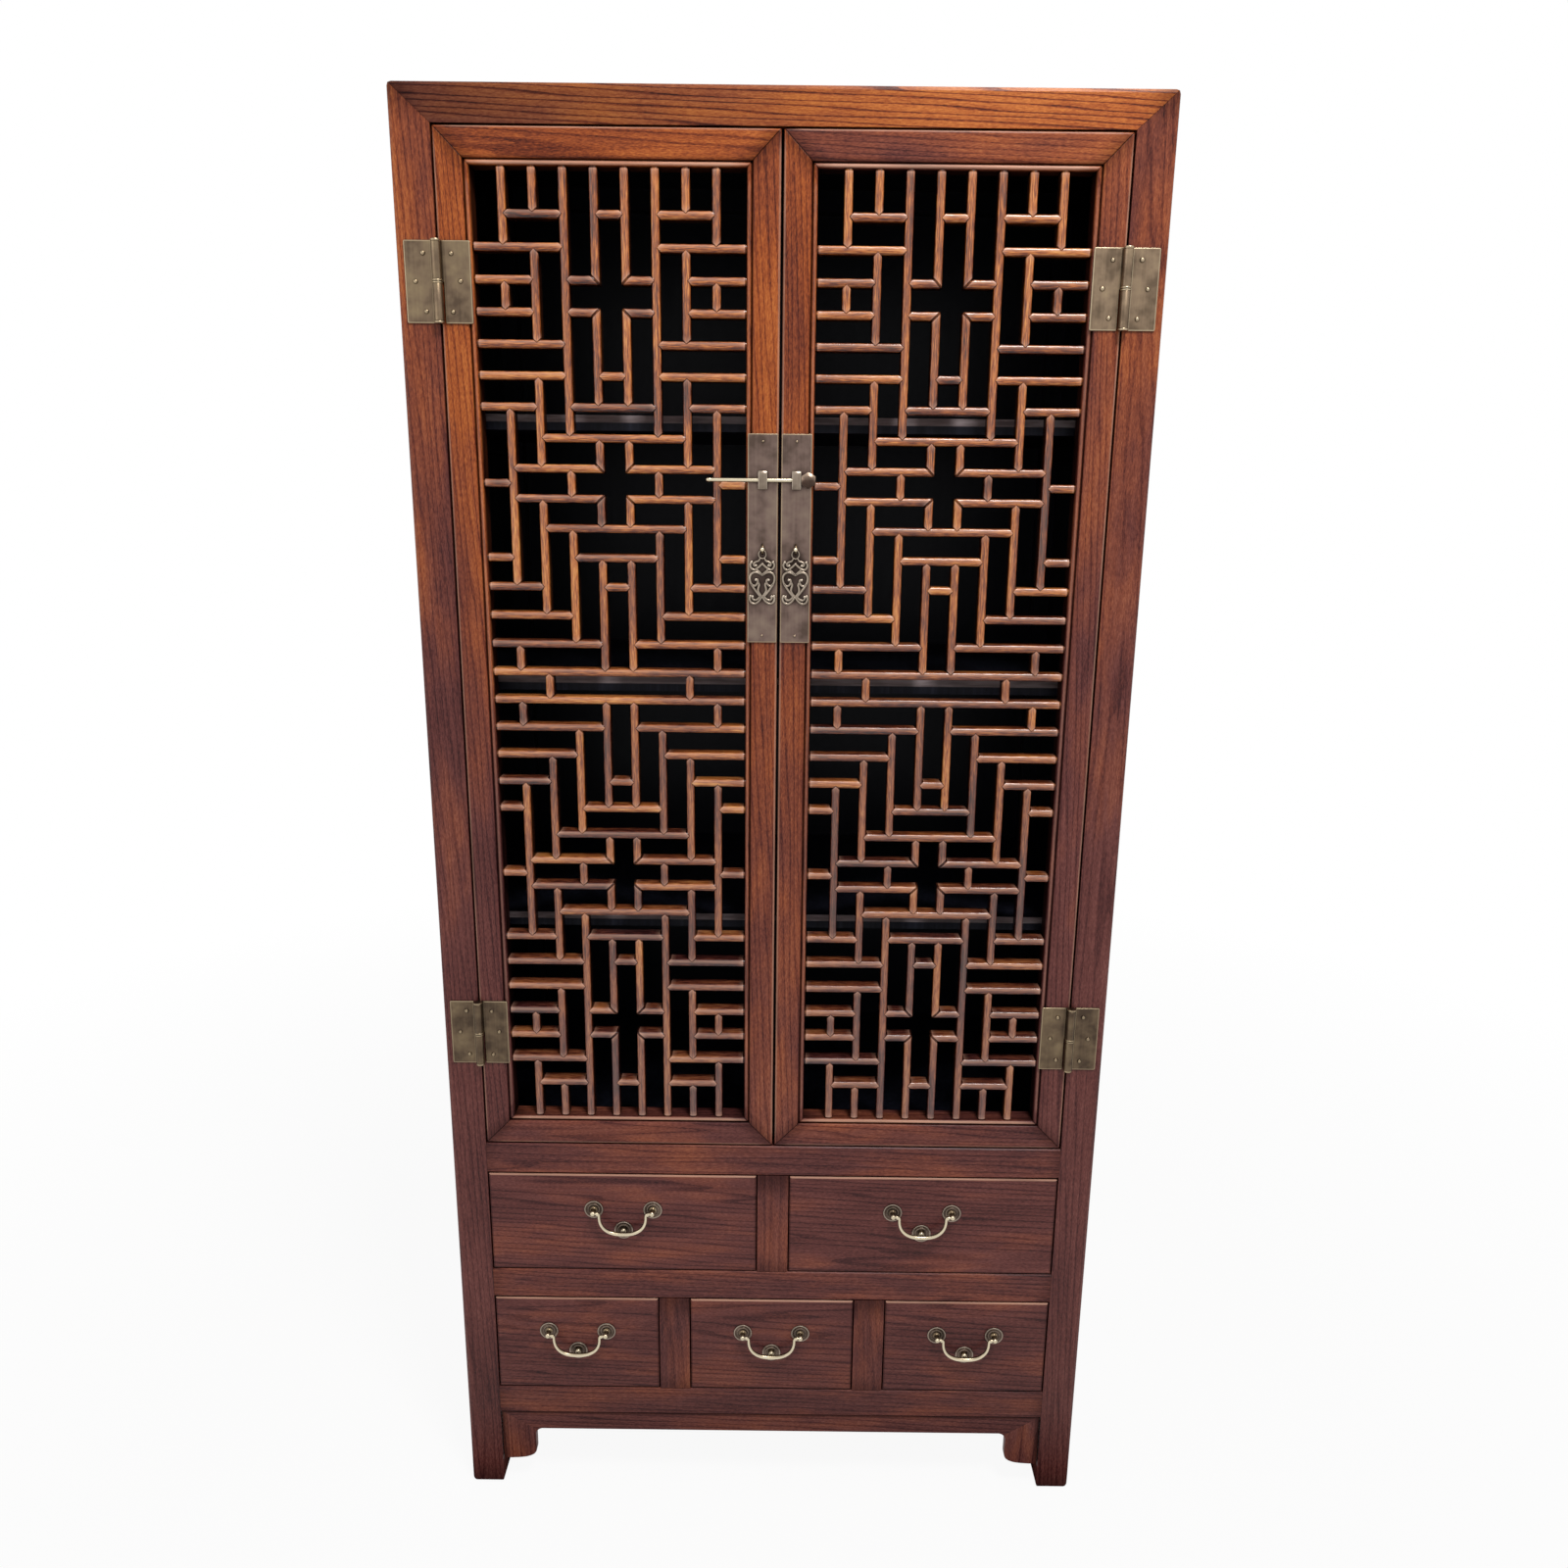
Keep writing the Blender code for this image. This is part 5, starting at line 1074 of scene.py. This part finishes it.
# Width, depth and height of a lug; the seam of its rows, of which the last two line the bore: painted
# highlights on its rims and painted shade in the bore
LUG = (10.5 * MM, 9.5 * MM, 21.0 * MM)
LUG_BORE = 2.8 * MM
LUG_EASE = 0.9 * MM
LUG_SQUARENESS = 7
LUG_SIDES = 40
LUG_SEAM = [-0.2, -1.0, -0.1, -0.1, -1.0, -0.2, 0.5, 0.5]
PIN_HEIGHT = 1.425
EYE_HEIGHT = 1.3455
EYE_RADIUS = 5.2 * MM
EYE_WIRE = 1.5 * MM
EYE_STEPS = 15
EYE_BALL = 2.9
EYE_BALL_REACH = 6.1 * MM
PLATE_NAIL_INSET = 8.5 * MM
PLATE_NAIL_SCALE = 0.6


def bored_lug(centre_x, plate_front):
    """A block with a bore along X: an outline of polar radius (|cos/a|^p + |sin/b|^p)^(-1/p) about the
    bore, drawn in at its ends, and the bore's circle joined end to end with it."""
    width, depth, height = LUG
    angle = round_angles(LUG_SIDES)
    cosine, sine = np.cos(angle), np.sin(angle)

    def outline(inset):
        a, b = depth / 2 - inset, height / 2 - inset
        power = (np.abs(cosine / a) ** LUG_SQUARENESS + np.abs(sine / b) ** LUG_SQUARENESS)
        return power ** (-1 / LUG_SQUARENESS)

    half = width / 2
    slight = 0.3 * LUG_EASE
    rows = [
        (-half, outline(LUG_EASE)), (slight - half, outline(slight)), (LUG_EASE - half, outline(0)),
        (half - LUG_EASE, outline(0)), (half - slight, outline(slight)), (half, outline(LUG_EASE)),
        (half, LUG_BORE), (-half, LUG_BORE)]
    rings = [
        joined(centre_x + x, plate_front - depth / 2 + radius * cosine, PIN_HEIGHT + radius * sine)
        for x, radius in rows]
    return skin(np.array(rings), wrap=True, seam=LUG_SEAM)


BALL_STEPS = 11
# Angle from a ball's poles at which its first and last row lie
BALL_POLE = 0.12


def ball(radius, centre, axis, bright=0.0):
    """A ball as a turned half circle, with a painted highlight towards its front."""
    turn = np.linspace(BALL_POLE, np.pi - BALL_POLE, BALL_STEPS)
    profile = joined(radius * np.sin(turn), -radius * np.cos(turn))
    return turned(profile, centre, axis, sides=20, seam=-bright * (1 - np.cos(turn)) / 2)


def lock_plate(side):
    """A long plate with its nails, its bored lug, and the staple and ball that hold a pull."""
    node = "lock_plate_" + side
    low, high = corners(node)
    centre_x = (low[0] + high[0]) / 2
    plate_front = high[1] - PLATE_THICKNESS
    shells = [rounded_board((low[0], plate_front, low[2]), high, PLATE_EASE, PLATE_CORNER)]
    for z in (low[2] + PLATE_NAIL_INSET, high[2] - PLATE_NAIL_INSET):
        shells.append(nail(centre_x, plate_front, z, PLATE_NAIL_SCALE))
    body = side + "_door"
    make(node + "_filed", shells, PLATE_BRASS, body, node)
    make("lock_lug_" + side, [bored_lug(centre_x, plate_front)], PULL_BRASS, body, None)
    turn = np.radians(np.linspace(-90, 90, EYE_STEPS))
    staple = joined(
        centre_x, plate_front - EYE_RADIUS * np.cos(turn), EYE_HEIGHT + EYE_RADIUS * np.sin(turn))
    eye = [drawn_wire(staple, EYE_WIRE, out="X")]
    eye.append(ball(EYE_BALL, (centre_x, plate_front - EYE_BALL_REACH, EYE_HEIGHT), "-Y", 0.9))
    make("pull_eye_" + side, eye, HANDLE_BRASS, body, None)


# The ring's half width, half height and drop, the wires' radii and the balls' in millimetres
RING_TOP = 5.1 * MM
RING_STEPS = 33
RING_HALF_WIDTH, RING_HALF_HEIGHT, RING_DROP = 4.4, 4.9, 0.7
RING_WIRE = 0.95
PULL_WIRE = 1.65
RING_UNDER = -4.5
THICKENING = 0.12
# Seam along the crest of the pull's wires: a painted highlight
PULL_CREST = -0.4
PULL_TIP = 2.0
# Right-hand strokes of the openwork, as (x, z) in millimetres from the middle of the ring
PULL_STROKES = [
    [(0.0, -11.6), (3.4, -14.8), (6.8, -18.2), (3.4, -21.6), (0.2, -24.8)],
    [(2.6, -5.4), (4.6, -8.4), (8.0, -9.6), (10.2, -11.6), (9.4, -14.0), (7.6, -13.6)],
    [(6.6, -17.6), (10.2, -18.6), (13.4, -16.4), (14.4, -12.8), (12.8, -9.8)],
    [(0.6, -24.6), (4.4, -22.4), (9.0, -21.6), (13.2, -23.8), (14.9, -28.8), (13.4, -35.0), (9.2, -41.6),
     (4.4, -47.8), (0.8, -51.6)],
    [(13.2, -35.2), (10.2, -37.8), (7.2, -36.6), (5.2, -33.4), (5.8, -30.4), (7.6, -30.6)],
    [(5.2, -33.2), (3.6, -36.4), (4.6, -40.6), (4.6, -44.6), (1.0, -49.8)],
    [(0.8, -51.4), (4.0, -56.0), (8.8, -58.9), (13.2, -57.2), (15.0, -53.0), (14.0, -49.8)],
    [(2.0, -50.2), (5.6, -53.6), (9.2, -54.6), (11.6, -52.4), (11.4, -50.4)],
]
PULL_TIPS = [(7.6, -13.6), (12.8, -9.8), (7.6, -30.6), (14.0, -49.8), (11.4, -50.4)]


def drop_pull(side):
    """An openwork pull: round wires along smooth strokes and their mirror images, under an oval ring. The
    strokes thicken with their distance under the ring."""
    node = "pull_" + side
    low, high = corners(node)
    middle = (low + high) / 2
    middle[2] = high[2] - RING_TOP

    def in_place(points):
        return middle + upright_at(0.0, np.asarray(points) * MM)

    turn = np.linspace(0, 2 * np.pi, RING_STEPS)
    oval = joined(RING_HALF_WIDTH * np.sin(turn), RING_HALF_HEIGHT * np.cos(turn) - RING_DROP)
    shells = [drawn_wire(in_place(oval), RING_WIRE * MM, crest=PULL_CREST)]
    for mirror in (1, -1):
        for stroke in PULL_STROKES:
            line = smooth_line(np.array(stroke) * [mirror, 1])
            radius = np.clip(RING_WIRE + THICKENING * (RING_UNDER - line[:, 1]), RING_WIRE, PULL_WIRE) * MM
            shells.append(drawn_wire(in_place(line), radius, sides=10, crest=PULL_CREST))
        for tip in PULL_TIPS:
            shells.append(ball(PULL_TIP, in_place([np.array(tip) * [mirror, 1]])[0], "-Y", 0.6))
    make(node + "_openwork", shells, PULL_BRASS, node, node)


# Rod of the pin from its tip, as (radius, reach) in millimetres, and its radius beyond
ROD_TIP = [(2.4, 2.4), (2.5, 3.2), (2.5, 4.4), (2.2, 5.0), (2.3, 6.4)]
ROD_RADIUS = 2.45
KNOB_RADIUS = 9.5
KNOB = [(8.0, 0.0), (KNOB_RADIUS, 1.0), (KNOB_RADIUS, 9.2), (5.6, 12.0)]
# The knob's upper faces get a painted highlight and its lower faces painted shade: its seam round each row
# from the top corner
KNOB_DULL = [0.0] * 6
KNOB_RIM = [-1.0, -0.8, 0.2, 0.4, 0.2, -0.8]
KNOB_FRONT = [-0.5, -0.3, 0.3, 0.3, 0.3, -0.3]


def lock_pin():
    """The sliding pin: a drawn rod with a flattened band near its tip, and a six-sided knob with a bevelled
    face."""
    low, high = corners("lock_pin")
    knob_x = high[0] - KNOB_RADIUS * MM * math.cos(math.pi / 6)
    pin_y = FACE - SEAT - PLATE_THICKNESS - LUG[1] / 2
    length = (knob_x - low[0]) / MM
    radius, reach = np.array(ROD_TIP + [(ROD_RADIUS, length / 2), (ROD_RADIUS, length)]).T * MM
    rod = drawn_wire(joined(low[0] + reach, pin_y, PIN_HEIGHT), radius, sides=18)
    make("lock_pin_rod", [rod], HANDLE_BRASS, "lock_pin", "lock_pin")
    seam = [KNOB_DULL, KNOB_RIM, KNOB_RIM, KNOB_FRONT]
    knob = turned(KNOB, (knob_x, high[1], PIN_HEIGHT), "-Y", sides=6, seam=seam)
    make("lock_pin_knob", [knob], BRONZE, "lock_pin", None)


# Drawers

DRAWER_EASE = 2.0 * MM
DRAWER_CORNER = 1.2 * MM
# Painted shade along a drawer front's sides and bottom, in the gaps around it
DRAWER_GAP_SHADE = 0.45
BAIL_BORING = 81.0 * MM
BAIL_STANDOFF = 11.0
BAIL_END = 1.4 * MM
STRIKE_DROP = 31.5 * MM
# Profiles as (radius, height) in millimetres; a rosette's rows have their own seam, which paints
# highlights on the crests of its rings and shade between them, and height of beads
ROSETTE = [
    (13.0, -0.4), (13.0, 0.9), (12.6, 1.6), (11.8, 1.8), (11.0, 1.5), (10.3, 0.9), (8.9, 0.9), (8.4, 1.3),
    (7.6, 1.6), (6.8, 1.3), (6.3, 0.9), (4.0, 1.1)]
ROSETTE_SEAM = [0.0, -0.2, -0.7, -0.5, -0.1, 0.2, 0.0, 0.0, -0.25, 0.0, 0.1, 0.3]
BEADED = [0, 0, 0, 0, 0, 0, 0, 0.3, 0.5, 0.3, 0, 0]
ROSETTE_SIDES = 78
# A handle post's ball: its radius, and the angles from its front between which its rows lie
BALL_RADIUS = 3.8
POST_ANGLES = (140, 6)
POST_STEPS = 9
# Seam at the front of a handle post or strike: a painted highlight
POST_SEAM = -0.65
NECK = [(4.9, 0.5), (4.7, 1.5), (3.8, 2.0), (2.9, 3.6), (2.5, 5.0), (2.5, 7.6)]
STRIKE = [(5.0, 0.5), (4.8, 2.0), (4.4, 3.6), (3.9, 5.0), (2.9, 6.2), (1.6, 6.9), (0.6, 7.2)]
# A bail in millimetres: half the distance between its sockets' ends and between its shoulders, the radius
# of the bend there, how far it falls and how full its curve is, the wire's radius at the ends and how much
# it thickens, and the radius and place of the ball at each bend
BAIL_SOCKET = 37.6
BAIL_SHOULDER = 35.0
BAIL_BEND = 3.0
BAIL_FALL = 28.5
BAIL_FULLNESS = 2.5
BAIL_WIRE = 2.1
BAIL_THICKENING = 0.8
BAIL_BALL = 2.4
BAIL_BALL_PLACE = (34.2, -1.4)
BEND_STEPS = 5
BOW_STEPS = 22


def handle_post():
    """Half section of a handle post: neck and ball."""
    turn = np.linspace(*np.radians(POST_ANGLES), POST_STEPS)
    head = joined(BALL_RADIUS * np.sin(turn), BAIL_STANDOFF + BALL_RADIUS * np.cos(turn))
    return NECK + head.tolist()


def bail(axis):
    """A bail's wire: sockets, a bend, then a superellipse down to the lowest point, thick in the middle and
    thin at the ends, with a ball where each end bends."""
    half_width = BAIL_SHOULDER - BAIL_BEND
    power = 2 / BAIL_FULLNESS
    quarter = np.linspace(np.pi / 2, np.pi, BEND_STEPS)
    turn = np.linspace(0, np.pi / 2, BOW_STEPS)[1:]
    corner = joined(BAIL_SHOULDER + BAIL_BEND * np.cos(quarter), BAIL_BEND * (np.sin(quarter) - 1))
    bow = joined(
        half_width * np.abs(np.cos(turn)) ** power, -BAIL_BEND - BAIL_FALL * np.sin(turn) ** power)
    right = np.vstack([[[BAIL_SOCKET, 0.0]], corner, bow])
    line = np.vstack([right, right[-2::-1] * [-1, 1]])
    share = 1 - np.minimum(1.0, np.abs(line[:, 0]) / half_width) ** 2
    radius = (BAIL_WIRE + BAIL_THICKENING * share) * MM
    shells = [drawn_wire(axis + upright_at(0.0, line * MM), radius, sides=14)]
    ball_x, ball_z = BAIL_BALL_PLACE
    for end in (-1, 1):
        shells.append(ball(BAIL_BALL, axis + np.array([end * ball_x, 0.0, ball_z]) * MM, "-Y", 0.7))
    return shells


def drawer(name):
    """A drawer's eased front board, its three rosettes, two handle posts and strike, and its bail."""
    body = "drawer_" + name
    node = "drawer_front_" + name
    low, high = corners(node)
    board_low = np.array([low[0], FACE, low[2]])
    board = rounded_board(board_low, high, DRAWER_EASE, DRAWER_CORNER, elsewhere=DRAWER_GAP_SHADE)
    make(body + "_front_board", [with_grain(board, "X", BEHIND)], WORKED_ELM, body, node)
    bail_low, bail_high = corners("bail_" + name)
    centre_x = (bail_low[0] + bail_high[0]) / 2
    axis = np.array([centre_x, FACE - BAIL_STANDOFF * MM, bail_high[2] - BAIL_END])
    offsets = [(-BAIL_BORING / 2, 0.0), (BAIL_BORING / 2, 0.0), (0.0, -STRIKE_DROP)]
    places = [(centre_x + across, FACE, axis[2] + rise) for across, rise in offsets]
    discs = [turned(ROSETTE, place, "-Y", ROSETTE_SIDES, ROSETTE_SEAM, BEADED) for place in places]
    make(body + "_rosettes", discs, ROSETTE_BRASS, body, None)
    posts = []
    for profile, place in zip([handle_post(), handle_post(), STRIKE], places):
        height = np.array(profile)[:, 1]
        posts.append(turned(profile, place, "-Y", 24, POST_SEAM * (height / height.max()) ** 2))
    make(body + "_handle_posts", posts, HANDLE_BRASS, body, None)
    make("bail_" + name + "_wire", bail(axis), HANDLE_BRASS, "bail_" + name, "bail_" + name)


# Stage

CAMERA_PLACE = (0.0106, FACE - 1.427, 1.4094)
YAW, PITCH, ROLL = (math.radians(angle) for angle in (-0.063, 13.847, 0.638))
LENS = 27.0


def set_camera():
    """The camera at the photograph's place, turned by yaw, then down by pitch, then by roll."""
    ahead = Vector((math.sin(YAW) * math.cos(PITCH), math.cos(YAW) * math.cos(PITCH), -math.sin(PITCH)))
    level = Vector((math.cos(YAW), -math.sin(YAW), 0.0))
    upward = level.cross(ahead)
    right = level * math.cos(ROLL) + upward * math.sin(ROLL)
    up = upward * math.cos(ROLL) - level * math.sin(ROLL)
    data = bpy.data.cameras.new("camera")
    data.lens = LENS
    camera = new_object("camera", data)
    turn = Matrix((right, up, -ahead)).transposed()
    camera.matrix_world = Matrix.Translation(CAMERA_PLACE) @ turn.to_4x4()
    bpy.context.scene.camera = camera


# Name, place, target, size and power of each lamp
LAMPS = [
    ("key", (0.7, -1.7, 3.7), (0.0, -0.2, 1.2), 0.7, 62.0),
    ("side", (-2.4, -2.0, 1.9), (0.0, -0.2, 1.0), 1.6, 9.0),
]
# Half width of the floor; strength of the surround as a light; whiteness of the floor near the object, and
# the distances between which it turns white
FLOOR_REACH = 30.0
FILL = 0.3
NEAR_WHITE = 0.93
NEAR, FAR = 0.9, 2.6


def seen_rays(tree):
    """1 for rays that look at the background or mirror it, else 0."""
    path = add(tree, "LightPath")
    mirrored = reckon(tree, "MAXIMUM", path["Is Glossy Ray"], path["Is Transmission Ray"])
    return reckon(tree, "MAXIMUM", path["Is Camera Ray"], mirrored)


def set_stage():
    """A pale floor that whitens away from the object, two soft lamps, and a white surround."""
    for name, place, target, size, power in LAMPS:
        data = bpy.data.lights.new(name, "AREA")
        data.size = size
        data.energy = power
        lamp = new_object(name, data)
        lamp.location = place
        lamp.rotation_euler = (Vector(target) - Vector(place)).to_track_quat("-Z", "Y").to_euler()
    world = bpy.data.worlds.new("surround")
    bpy.context.scene.world = world
    world.use_nodes = True
    tree = world.node_tree
    tree.nodes.clear()
    strength = ranged(tree, seen_rays(tree), target=(FILL, 1.0))
    white = add(tree, "Background", {"Color": linear("#ffffff"), "Strength": strength})[0]
    add(tree, "OutputWorld", {"Surface": white})
    material, tree = new_material("pale_floor")
    place = add(tree, "TexCoord")["Object"]
    away = add(tree, "VectorMath", {0: place}, operation="LENGTH")["Value"]
    whiteness = ranged(tree, away, (NEAR, FAR), (NEAR_WHITE, 1.0))
    share = reckon(tree, "MULTIPLY", seen_rays(tree), whiteness)
    shaded = add(tree, "BsdfDiffuse", {"Color": linear("#f4f3f1")})[0]
    bright = add(tree, "Emission", {"Color": linear("#ffffff"), "Strength": 1.0})[0]
    mixed = add(tree, "MixShader", {0: share, 1: shaded, 2: bright})[0]
    add(tree, "OutputMaterial", {"Surface": mixed})
    mesh = bpy.data.meshes.new("floor")
    square = np.array([[-1, -1, 0], [1, -1, 0], [1, 1, 0], [-1, 1, 0]]) * FLOOR_REACH
    mesh.from_pydata(square.tolist(), [], [(0, 1, 2, 3)])
    mesh.materials.append(material)
    new_object("floor", mesh)


bpy.context.scene.view_settings.view_transform = "Standard"
set_camera()
set_stage()
finish_solids()
apron()
for door_side in ("left", "right"):
    door_frame(door_side)
    lattice(door_side)
    lock_plate(door_side)
    drop_pull(door_side)
    for hinge_level in ("upper", "lower"):
        hinge_leaf(hinge_level, door_side, True)
        hinge_leaf(hinge_level, door_side, False)
lock_pin()
for drawer_name in DRAWERS:
    drawer(drawer_name)
